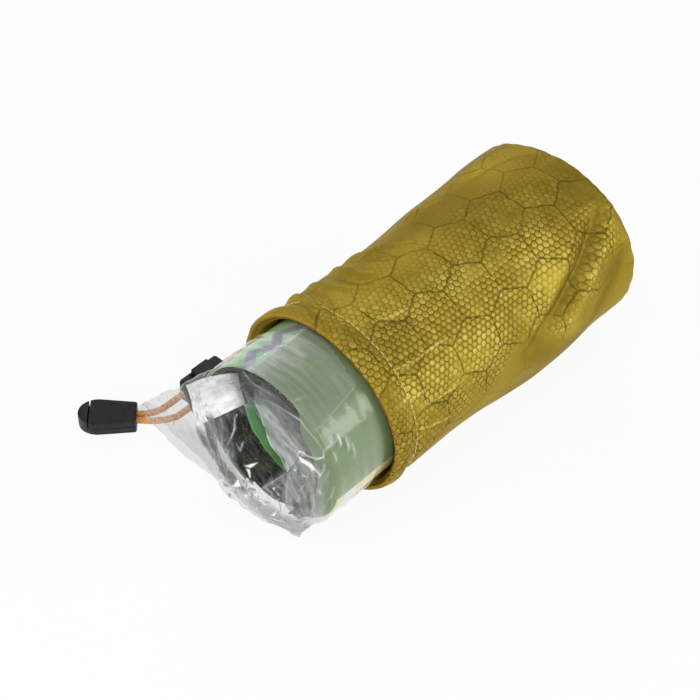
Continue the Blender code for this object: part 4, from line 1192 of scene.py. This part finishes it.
def make_card(surface):
    """The printed card, with its front edge bent in over the roll at one side."""
    body = np.linspace(CARD_FRONT + CARD_EDGE, CARD_REAR, CARD_ROWS)
    reach = np.linspace(1.0, 0.0, CARD_EDGE_ROWS, endpoint=False)
    ys = np.concatenate((CARD_FRONT + CARD_EDGE * (1.0 - reach), body))
    angle, y = np.meshgrid(np.linspace(CARD_START, CARD_END, CARD_COLUMNS), ys)
    bend = between(angle, *CARD_BEND)
    bend = bend * bend * (3.0 - 2.0 * bend)
    path = np.append(reach, np.zeros(CARD_ROWS))[:, None] * (CARD_EDGE + (CARD_LAP - CARD_EDGE) * bend)
    arc = pi / 2 * CARD_EDGE
    turn = unit(path / arc) * pi / 2
    flange = np.maximum(path - arc, 0.0)
    solid = pack_places(angle, y, CARD_RADIUS - CARD / 2)
    radius = CARD_RADIUS - CARD / 2 + CARD_WAVE * waves(solid, 16.0, 71)
    inward = CARD_EDGE * (1.0 - np.cos(turn)) + flange
    front = CARD_FRONT + CARD_EDGE - (CARD_EDGE * np.sin(turn) + 0.10 * flange)
    edge = path > 0
    y = np.where(edge, y + (front - y) * bend, y)
    radius = radius - np.where(edge, inward * bend, 0.0)
    flat = np.stack((angle * CARD_RADIUS, np.where(edge, CARD_FRONT + CARD_EDGE - path, y)), axis=-1)
    card = grid_object("printed_card_wrap", pack_places(angle, y, radius), surface, "inner_pack", flat=flat)
    thicken(card, CARD)
    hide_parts("printed_card")


# Creases of the clear bag: height in mm, half width in mm, milky white along the top of each, which is a
# painted highlight, and places in mm
FILM_CREASES = (
    (0.9, 1.5, 0.6, ((-64, -104.5, 17.9), (-53.8, -104.5, 17.8), (-39.4, -103.9, 21.5),
        (-24.5, -103.5, 28.4))),
    (1.5, 1.7, 0.95, ((-2.6, -100.9, 64.7), (2.4, -101, 56), (5.8, -101.6, 48.6), (7.6, -100.6, 43),
        (10.4, -100.6, 39.9), (14.7, -102.1, 37.8))),
    (0.9, 1.4, 0.75, ((-2.3, -100.9, 65.3), (6.5, -100, 66.1), (18.2, -99.1, 66), (25.8, -98.9, 60.9),
        (29.7, -98.4, 57))),
    (0.8, 1.4, 0.45, ((-1.8, -100.3, 66.7), (5.3, -100.5, 63), (12.9, -100.1, 58.7), (17, -100.4, 52.3))),
    (0.9, 1.3, 0.7, ((-1, -103.9, 15.8), (8.6, -104.6, 29.5), (14.7, -102.1, 37.8))),
    (0.9, 1.2, 0.75, ((14.7, -102.1, 37.8), (15.4, -104.1, 29.8), (12.9, -103.6, 13.7))),
    (0.9, 1.1, 1.2, ((16.9, -99.8, 46.9), (19.3, -100.3, 51.6), (22.8, -100.1, 51.2), (26.4, -99.7, 51.9),
        (29.6, -98.9, 54.6), (29.2, -97.8, 58.2))),
    (0.7, 1.1, 0.8, ((16.1, -99.6, 44.9), (21, -99.4, 44.6), (28.2, -99.6, 43.5), (30, -99.3, 48.3),
        (30.2, -99, 51.9))),
    (0.6, 1, 0.85, ((-24, -102.8, 38.7), (-22.5, -103, 32.8), (-23.7, -104, 24.8))),
    (0.7, 1.1, 0.75, ((-19.6, -102.6, 42.3), (-18.4, -103.2, 34.8), (-18.7, -104.6, 25.7),
        (-17, -104.5, 17.7), (-13.2, -104.9, 10.6))),
    (0.6, 1, 0.85, ((-13.4, -101.1, 47.8), (-12.7, -102.7, 41.9), (-15.6, -103.5, 32.7),
        (-17.3, -104.9, 25.2))),
    (0.5, 1, 0.6, ((-31.3, -101.9, 32.1), (-29, -102.4, 27.5), (-25.2, -103.7, 22.3))),
    (0.4, 0.9, 0.6, ((-12.5, -102.8, 33.9), (-10, -103.2, 31.6), (-8.5, -102.3, 37.5))),
    (0.6, 1.1, 0.55, ((-35.5, -101.8, 28.4), (-31.7, -102, 25.2), (-26.6, -103.3, 23.2),
        (-24.3, -104.1, 22.2))),
    (0.7, 1.2, 0.7, ((-17, -104.6, 16.6), (-14.6, -105.3, 9.8), (-5.2, -105.6, 8.1), (2.6, -105.3, 7),
        (8.6, -104, 4.2))),
    (0.9, 1.3, 0.8, ((16.1, -100.9, 40), (17.2, -103.1, 34.9), (20.1, -102.6, 28.9), (22.3, -101.3, 18.7))),
    (0.7, 1.1, 0.6, ((20.6, -100.2, 41.8), (20.2, -102, 37.4), (23, -101.9, 30), (24.4, -101.4, 22.2))),
    (0.6, 0.9, 1, ((13.3, -103.5, 15.2), (17.8, -103.6, 23.3), (20.8, -102.2, 28.5))),
    (0.8, 1.2, 0.65, ((-3.8, -105, 14.5), (1.5, -104, 12.8), (8.2, -103.3, 10.4), (14.1, -103.2, 15.6),
        (19.9, -102.3, 13))),
    (0.7, 1.3, 0.45, ((32.4, -98.7, 49.6), (29.7, -100.2, 39.9), (27.8, -101.6, 29), (21.8, -100.9, 15))),
    (0.6, 1.2, 0.45, ((34.8, -93.4, 42.6), (33.4, -98.6, 36.3), (29.9, -100.6, 29.3))),
    (0.6, 1.2, 0.45, ((-11.3, -98.8, 70.9), (-5.6, -99.6, 69.2), (-0.5, -99.5, 69), (5.6, -99, 69.4))),
)

# Creases over the card, given in the same way
CARD_CREASES = (
    (0.5, 1, 0.95, ((-13.8, -98.4, 70.5), (-10.3, -89.4, 71.9), (-8.2, -80.6, 72.6), (-8.2, -73.8, 72.2),
        (-9.4, -66.3, 71.6))),
    (0.3, 0.9, 0.85, ((27.6, -94, 60.4), (28.8, -94.3, 58.9), (30, -95.1, 57.2))),
    (0.3, 0.9, 0.9, ((28.3, -90.5, 59.8), (30, -90.8, 57.5), (31.2, -91.5, 55.2))),
    (0.3, 0.9, 0.85, ((29.6, -87.7, 57.4), (31.3, -87.9, 54.5), (32.5, -88.8, 51.8))),
    (0.3, 0.9, 0.75, ((31.6, -86.7, 53.8), (32.9, -86.5, 50.8), (33.8, -86.9, 48.1))),
    (0.3, 0.9, 0.8, ((30.8, -95.4, 55.9), (32, -95.1, 53.4), (33, -95.6, 51.2))),
    (0.3, 0.8, 0.7, ((13, -97.8, 71.1), (13.9, -95.1, 70.8), (14.8, -92.4, 70.3))),
    (0.4, 1.2, 0.3, ((1, -81.1, 73.6), (7.2, -78.1, 72.5), (13.8, -76.6, 70.7), (18.3, -75.6, 68.4))),
)

# Small random creases: seed, number, middle (X, Z), half extent (X, Z), direction and its spread, and the
# strength of a painted highlight along creases that stand out, or of a painted shade along those that lie in
FILM_BITS = (
    (201, 64, (2, 11), (20, 9), 60, 70, 1.2), (202, 30, (-21, 27), (9, 14), 100, 22, 1.05),
    (203, 14, (14, 56), (14, 9), -38, 16, 0.8), (204, 14, (22, 28), (8, 14), 80, 35, 0.95),
    (205, 8, (-46, 16), (14, 6), 70, 30, 0.6), (206, 8, (4, 24), (8, 6), 50, 40, 0.9)
)
BIT_LENGTH = (1.5, 6.5)
FRONT_Y = -103.0

# How much each axis counts in the distance to a crease, in front and over the card
CREASE_SCALE = np.array((1.0, 0.05, 1.0))
CARD_CREASE_SCALE = np.array((1.0, 0.6, 1.0))

# Where the front of the clear bag is doubled and hazy: haze, soft edge in mm, and corners (X, Z) in mm
FILM_HAZES = (
    (0.56, 0.9, ((-2.6, 64.7), (2.6, 55.6), (6, 48.4), (8.3, 42.4), (14.6, 38.1), (18.3, 47.4),
        (30.4, 55.5), (23.6, 64.3), (11.1, 69.2), (-0.6, 71.5))),
    (0.5, 1.2, ((14.6, 38.1), (13.7, 22.1), (19.4, 6.9), (27.4, 13.9), (32.9, 33.7), (32.4, 48.6),
        (18.3, 47.4))),
    (0.16, 1.5, ((-1, 15.8), (14.7, 37.8), (14.3, 22.6), (11.6, 12.5), (3.3, 11.3))),
    (0.26, 2.5, ((-25.5, 38.2), (-18.6, 41.9), (-13.2, 31), (-11.1, 22), (-5.5, 17.1), (-9.2, 11.5),
        (-15.6, 12.5), (-19.5, 19.5), (-25, 26.8))),
    (0.3, 3, ((-15, 9.1), (2.5, 6.4), (9, 2), (16.3, 2.9), (22.5, 10.4), (13.3, 13.5), (1.3, 13.5),
        (-9.3, 11.9))),
)

# Darker places of the film, where it folds away from the light, given in the same way
FILM_SHADES = (
    (0.92, 1.6, ((-34.2, 35.9), (-22.4, 38.4), (-21.6, 27.7), (-16.2, 20.7), (-10.7, 15.2), (-12.7, 13),
        (-18.7, 13.5), (-23.7, 17.7), (-29.4, 27.8))),
    (0.7, 1.6, ((13, 20), (26.1, 30.8), (25.4, 20.3), (17.8, 15.2))),
    (0.85, 2, ((-34.7, 26), (-30.3, 26.4), (-23.6, 23.9), (-17, 16.6), (-10.5, 13.7), (-3.8, 14.5),
        (-7.3, 11.4), (-15.1, 10.4), (-22.5, 14.7), (-31.5, 18.4))),
    (0.55, 2.6, ((-0.7, 69.3), (8.1, 69.6), (19.3, 64.8), (28.3, 59.1), (28.8, 55.3), (21, 55.1),
        (12.2, 58.4), (4.4, 64.5))),
    (0.45, 2.5, ((-25.5, 38.2), (-19.6, 40.9), (-14.2, 31), (-12.1, 22), (-7.5, 16.1), (-9.2, 11.5),
        (-15.6, 12.5), (-19.5, 19.5), (-25, 26.8))),
    (0.4, 2.5, ((-4, 14), (3, 12), (13, 13.5), (24, 18), (22, 8), (14, 3), (4, 6.5), (-4, 9))),
    (0.85, 1.2, ((17.4, 25), (21.7, 25.8), (22.1, 17.9), (19.6, 14.7), (16.7, 16.4))),
    (0.75, 1.4, ((-43.1, 42.4), (-38.2, 46.3), (-33.7, 41.6), (-32.8, 30.2), (-37.5, 31.9), (-40.3, 37.8))),
)

# The wing at the left and the low part of the mouth are greyer, the window over the roll is calm and clear
FILM_WING = (
    (-68, 19), (-53.8, 17.8), (-39.4, 21.5), (-24.5, 28.4), (-18.5, 20), (-13.8, 8.9), (-20, 0), (-60, 0),
    (-70, 10)
)
FILM_LOW = ((-15, 9.1), (2.5, 13), (13, 14), (24, 11), (24, -4), (0, -4), (-16, 3))
FILM_WINDOW = (
    (-21.3, 39.2), (-9.2, 50.3), (-6, 57), (0, 60), (4.9, 50), (8.6, 41), (13.4, 38.2), (10.3, 34),
    (-1, 15), (-13, 20.2)
)

# Bright reflections of the film, as corners (X, Z) in mm
FILM_GLINTS = (
    ((-7.7, 25.3), (-1, 31.6), (-4.2, 26.6)),
    ((-6.4, 24.6), (-5, 19.6), (-4.3, 26)),
    ((17, 46.6), (19.7, 46.7), (29.2, 45.6), (28.9, 44.4), (19.5, 44.9)),
    ((-13.2, 10.2), (-10.7, 15.8), (-9.4, 12.6)),
    ((6.1, 7.9), (8.8, 12), (8, 8.9)),
    ((6.6, 23.5), (8.6, 25.4), (7.6, 22.5)),
)

# Right edge of the doubled film over the card: Y in mm, and the angle about the pack in degrees
VEIL_EDGE = ((-94.8, 46.8), (-84.0, 49.7), (-73.0, 52.8), (-71.6, 70.3), (-67.9, 89.5))

# Points that pleats of the film spread from: X and Z in mm, reach in mm, strength, and a seed
FILM_FANS = (
    ((-5.5, 68.5), 34, 1, 5),
    ((14, 37), 20, 0.8, 7),
    ((-66, 14.5), 38, 0.8, 11),
    ((-17, 7.5), 26, 0.7, 13),
    ((12, 4), 24, 0.8, 17),
)


def mouth_line(share):
    """The middle of the clear bag's flattened mouth, from its left tip (0) to its right tip (1)."""
    last = len(MOUTH_REACH) - 1
    route = padded([(x, BAG_RIM - reach, z) for x, reach, z in MOUTH_REACH])
    place = np.clip(share * last, 0, last - 0.0001)
    index = place.astype(int)
    return curve(*(route[index + step] for step in range(4)), (place - index)[..., None])


def bag_ring():
    """Around the clear bag: share across its mouth, 1 for the upper film or -1 for the lower, and angle."""
    over = np.arange(BAG_STEPS) / BAG_STEPS
    share = np.concatenate((over, 1 - over))
    side = np.concatenate((np.ones(BAG_STEPS), -np.ones(BAG_STEPS)))
    turn = np.where(side > 0, MOUTH_RIGHT - MOUTH_LEFT, 2 * pi + MOUTH_RIGHT - MOUTH_LEFT)
    return share, side, MOUTH_LEFT + turn * share


def bag_front(share, side, angle, forward):
    """Points of the film in front, from the round rim (forward 0) to the flattened mouth (1)."""
    rim = pack_places(angle, BAG_RIM, PACK_RADIUS)
    lift = MOUTH_HALF * np.sqrt(np.maximum(0.0, 1 - np.abs(2 * share - 1) ** 6))
    lip = mouth_line(share) + MOUTH_LEAN * (side * lift)[..., None]
    return rim + (lip - rim) * np.asarray(forward)[..., None]


def tube_relief(tube):
    """Ripples of the film round the card, deeper outside the sack."""
    free = unit((-70.0 - tube[..., 1]) / 6.0)
    out = directions(tube * (1.0, 0.0, 1.0) - (0.0, 0.0, PACK_AXIS_Z))
    belly = unit((out[..., 2] + 0.97) / 0.1)
    ripple = wrapped(waves(tube * (0.22, 2.2, 0.22), 9.0, 81))
    slack = wrapped(waves(tube * (0.6, 0.3, 0.6), 16.0, 83))
    wave = 0.9 * ripple + 0.5 * slack
    return out * (wave * (0.08 + 0.5 * free) * belly)[..., None]


def grid_normals(places):
    """Unit normals of a grid of places that closes round."""
    across = np.roll(places, -1, axis=1) - np.roll(places, 1, axis=1)
    return directions(np.cross(np.gradient(places, axis=0), across))


def pleats(places, centre, reach, strength, seed, spokes=17):
    """Sharp pleats that spread from one point: their height, and a painted highlight that is strongest along
    the top of each pleat.
    """
    draw = np.random.default_rng(seed)
    offset = places[..., (0, 2)] - centre
    far = np.linalg.norm(offset, axis=-1)
    turn = np.arctan2(offset[..., 1], offset[..., 0])
    height = np.zeros_like(far)
    painted_crest_highlight = np.zeros_like(far)
    for _ in range(spokes):
        apart = np.abs(turned(turn, draw.uniform(-pi, pi)))
        width = draw.uniform(0.05, 0.16)
        length = reach * draw.uniform(0.35, 1.15)
        runs = np.exp(-(far / length) ** 4) * (1 - bell(far, 3.0))
        height += draw.uniform(-0.6, 1.0) * runs * np.exp(-apart / width) * np.minimum(far * width, 1.3)
        painted_crest_highlight = np.maximum(painted_crest_highlight, draw.uniform(0.15, 0.7) * runs * bell(apart * far, 0.42))
    return strength * height, strength * painted_crest_highlight


def film_bits():
    """Short random creases of the film, in the form of the larger ones."""
    creases = []
    for seed, count, middle, extent, heading, spread, white in FILM_BITS:
        draw = np.random.default_rng(seed)
        for _ in range(count):
            spot = np.array(middle) + np.array(extent) * draw.uniform(-1.0, 1.0, 2)
            turn = radians(heading + spread * draw.uniform(-1.0, 1.0))
            reach = draw.uniform(*BIT_LENGTH) * np.array((cos(turn), sin(turn)))
            line = [(x, FRONT_Y, z) for x, z in (spot - reach / 2, spot + reach / 2)]
            height = draw.uniform(-0.5, 0.7)
            half_width = draw.uniform(0.7, 1.2)
            creases.append((height, half_width, white * draw.uniform(0.45, 1.0), line))
    return creases


def card_veil(places):
    """Milky doubled film over the card, with a whiter line along its right edge that is a painted highlight."""
    turn = np.degrees(np.arctan2(places[..., 2] - PACK_AXIS_Z, places[..., 0]))
    edge = np.interp(places[..., 1], *np.array(VEIL_EDGE).T)
    veil = unit((107.0 - turn) / 1.5) * unit((turn - edge) / 1.2)
    veil = veil * (0.22 + 0.30 * unit((turn - 75.0) / 30.0))
    return np.maximum(veil, 0.40 * bell(turn - edge, 0.8)) * (places[..., 1] > BAG_RIM)


def crumpled(places, side, rows):
    """The film with its creases and crumples, and the values that its look depends on."""
    normal = grid_normals(places)
    normal = normal * np.sign((normal * (places - (0.0, -40.0, PACK_AXIS_Z))).sum(-1).mean())
    visible = unit((-66.0 - places[..., 1]) / 4.0)
    forward = unit(rows * 6.0)[:, None]
    upper = np.broadcast_to(side > 0, places.shape[:2])
    over = forward * upper
    front = places[..., (0, 2)]
    push = forward * ((1.4 + 0.8 * rows[:, None]) * (0.5 + 0.5 * facets(places, 15.0, 91))
                      + 0.35 * facets(places, 5.0, 92))
    window = near_polygon(front, FILM_WINDOW, 3.0)
    haze_and_painted_glint = 0.02 + 0.06 * forward * (1.0 - 0.8 * window)
    for fan in FILM_FANS:
        height, painted_crest_highlight = pleats(places, *fan)
        push = push + 1.6 * forward * np.where(upper, height, 0.5 * height)
        haze_and_painted_glint = np.maximum(haze_and_painted_glint, forward * np.where(upper, painted_crest_highlight, 0.4 * painted_crest_highlight))
    haze_and_painted_glint = haze_and_painted_glint * (1.0 - 0.7 * window)
    dark = np.zeros_like(haze_and_painted_glint)
    creases = [(CREASE_SCALE, *crease) for crease in (*FILM_CREASES, *film_bits())]
    creases += [(CARD_CREASE_SCALE, *crease) for crease in CARD_CREASES]
    for scale, height, half_width, white, line in creases:
        far, along = near_line(places * scale, np.array(line) * scale)
        runs = (4 * along * (1 - along) + 1e-9) ** 0.25 * upper
        push = push + height * runs * np.exp(-far / half_width) * np.maximum(forward, 0.4)
        if height > 0:
            # painted highlight: milky white along the top of creases that stand out
            haze_and_painted_glint = np.maximum(haze_and_painted_glint, white * runs * bell(far, 0.42))
        # painted shade: a dark line along creases that lie in
        else:
            dark = np.maximum(dark, 0.8 * white * forward * runs * bell(far, 0.55))
    haze_and_painted_glint = np.maximum(haze_and_painted_glint, card_veil(places) * visible)
    for strength, soft, corners in FILM_HAZES:
        haze_and_painted_glint = np.maximum(haze_and_painted_glint, over * strength * near_polygon(front, corners, soft))
    for strength, soft, corners in FILM_SHADES:
        dark = np.maximum(dark, over * strength * near_polygon(front, corners, soft))
    haze_and_painted_glint = haze_and_painted_glint * (1.0 - 0.6 * dark)
    for corners in FILM_GLINTS:
        glint = over * near_polygon(front, corners, 0.6)
        haze_and_painted_glint = np.maximum(haze_and_painted_glint, 1.3 * glint)
        dark = dark * (1.0 - glint)
    moved = places + normal * (push * visible)[..., None]
    moved[..., 2] = np.maximum(moved[..., 2], np.minimum(places[..., 2], 0.4))
    moved[..., 1] = np.where(rows[:, None] > 0, np.minimum(moved[..., 1], BAG_RIM + 0.4), moved[..., 1])
    grey = np.maximum(near_polygon(front, FILM_WING, 1.5), near_polygon(front, FILM_LOW, 3.0))
    grey = unit((BAG_RIM + 1.5 - places[..., 1]) / 2.5) * (0.35 + 0.65 * grey)
    haze_and_painted_glint = np.clip(haze_and_painted_glint, 0.0, 1.3) * (0.3 + 0.7 * visible)
    return moved, {"haze_and_painted_glint": haze_and_painted_glint, "grey": grey, "dark": dark, "calm": over * window}


def make_clear_bag(surface):
    """The clear bag: closed behind the roll, close round the card, crumpled and flattened in front."""
    share, side, angle = bag_ring()
    rear = [pack_places(angle, BAG_REAR - 0.2, radius) for radius in REAR_RADII]
    ys = np.append(np.linspace(BAG_REAR - 1.2, BAG_FREE, 14), np.linspace(BAG_FREE - 1.0, BAG_RIM + 0.5, 40))
    tube = np.array(rear + [pack_places(angle, y, PACK_RADIUS - 0.1) for y in ys])
    tube += tube_relief(tube)
    forward = np.linspace(0.0, 1.0, FRONT_STEPS)
    front = np.array([bag_front(share, side, angle, place) for place in forward])
    rows = np.concatenate((np.zeros(len(tube)), forward))
    places, values = crumpled(np.concatenate((tube, front)), side, rows)
    steps = np.linalg.norm(np.diff(places, axis=0), axis=-1).mean(axis=1)
    along = np.concatenate(([0.0], np.cumsum(steps)))
    flat = np.stack(np.meshgrid(np.append(angle, angle[0] + 2 * pi) * PACK_RADIUS, along), axis=-1)
    bag = grid_object("clear_bag_film", places, surface, "inner_pack", wrap=True, flat=flat, caps=(0,))
    add_values(bag, values)
    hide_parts("clear_bag")


def make_seal_strip(surface):
    """The whitish strip along the clear bag's upper left edge."""
    corners = np.array(STRIP_CORNERS)
    down, across = np.meshgrid(np.linspace(0.0, 1.0, 40), np.linspace(0.0, 1.0, 90))
    upper = corners[0] + (corners[1] - corners[0]) * across[..., None]
    lower = corners[3] + (corners[2] - corners[3]) * across[..., None]
    spot = upper + (lower - upper) * down[..., None]
    share = spot[..., 0]
    places = bag_front(share, 1.0, MOUTH_LEFT + (MOUTH_RIGHT - MOUTH_LEFT) * share, spot[..., 1])
    places[..., 1] -= STRIP_LIFT + 0.35 * facets(places, 9.0, 101) + 0.15 * facets(places, 3.5, 102)
    flat = np.stack((across, down), axis=-1) * STRIP_SIZE
    strip = grid_object("seal_strip_film", places, surface, "inner_pack", flat=flat)
    thicken(strip, STRIP_SKIN)
    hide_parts("bag_seal_strip")


def outward(azimuth, elevation):
    """Direction from the object; azimuth 0 stands in front of the mouth, 90 degrees at +X."""
    flat = cos(elevation)
    return Vector((sin(azimuth) * flat, -cos(azimuth) * flat, sin(elevation)))


def place_in_scene(name, data, location, back):
    """A camera or lamp that looks against a direction."""
    made = bpy.data.objects.new(name, data)
    made.location = location
    made.rotation_mode = "QUATERNION"
    made.rotation_quaternion = (-back).to_track_quat("-Z", "Y")
    bpy.context.scene.collection.objects.link(made)
    return made


def make_camera():
    back = outward(VIEW_AZIMUTH, VIEW_ELEVATION)
    data = bpy.data.cameras.new("camera")
    data.lens = VIEW_LENS
    data.sensor_width = SENSOR
    place = (VIEW_TARGET + np.array(back) * VIEW_DISTANCE) * MM
    bpy.context.scene.camera = place_in_scene("camera", data, place, back)


def make_studio():
    """A pale floor that keeps the shadow, a white surround and six softboxes."""
    for name, (azimuth, elevation, distance, size, power) in LAMPS.items():
        data = bpy.data.lights.new(name, "AREA")
        data.shape = "RECTANGLE"
        data.size, data.size_y = size
        data.energy = power
        back = outward(radians(azimuth), radians(elevation))
        place_in_scene(name, data, LAMP_TARGET + back * distance, back)

    sky = Nodes(bpy.data.worlds.new("surround"))
    fill = sky.tree.nodes["Background"]
    sky.fill(fill.inputs["Color"], WHITE)
    sky.fill(fill.inputs["Strength"], SURROUND)
    seen = sky.rays("Camera", "Transmission")
    sky.show(sky.node("MixShader", seen, Value(sky, fill.outputs[0]), sky.node("Background", WHITE)))
    bpy.context.scene.world = sky.owner

    made = Surface("studio_floor")
    seen = made.rays("Camera", "Glossy", "Transmission") * 0.93
    matte = made.node("BsdfDiffuse", (0.95, 0.95, 0.95))
    made.instead(made.node("MixShader", seen, matte, made.node("Emission", WHITE, 1.0)))
    corners = [(x * FLOOR_HALF, y * FLOOR_HALF, 0) for x, y in ((-1, -1), (1, -1), (1, 1), (-1, 1))]
    mesh = bpy.data.meshes.new("floor")
    mesh.from_pydata(corners, [], [(0, 1, 2, 3)])
    mesh.materials.append(made.owner)
    floor = bpy.data.objects.new("floor", mesh)
    floor.location.z = -FLOOR_DROP
    bpy.context.scene.collection.objects.link(floor)


def dress(node, surface):
    """Gives a rigid piece of the part its finish."""
    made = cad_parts[node]
    made.data.materials.clear()
    made.data.materials.append(surface)
    return made


def main():
    bpy.context.scene.view_settings.view_transform = "Standard"
    make_camera()
    make_studio()
    plastic = plastic_material()
    rigid = ("cord_lock_body", "cord_lock_button", "cord_end_base", "cord_end_lid")
    pieces = [dress(node, plastic) for node in rigid]
    spring = dress("cord_lock_spring", steel_material())
    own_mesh(spring)
    pieces.append(spring)
    cord = cord_material()
    make_tail("drawcord_tail_outer", 1, OUTER_LOOP, OUTER_BEND, cord)
    make_tail("drawcord_tail_inner", -1, INNER_LOOP, INNER_BEND, cord)
    make_cord_loop(cord)
    cloth = cloth_material()
    make_sack_wall(cloth)
    make_sack_base(cloth)
    make_binding(tape_material())
    make_side_seam(cloth)
    make_stitches(thread_material())
    make_roll(film_roll_material())
    make_tongue(tongue_material())
    make_card(card_material())
    make_clear_bag(film_material())
    make_seal_strip(strip_material())


main()
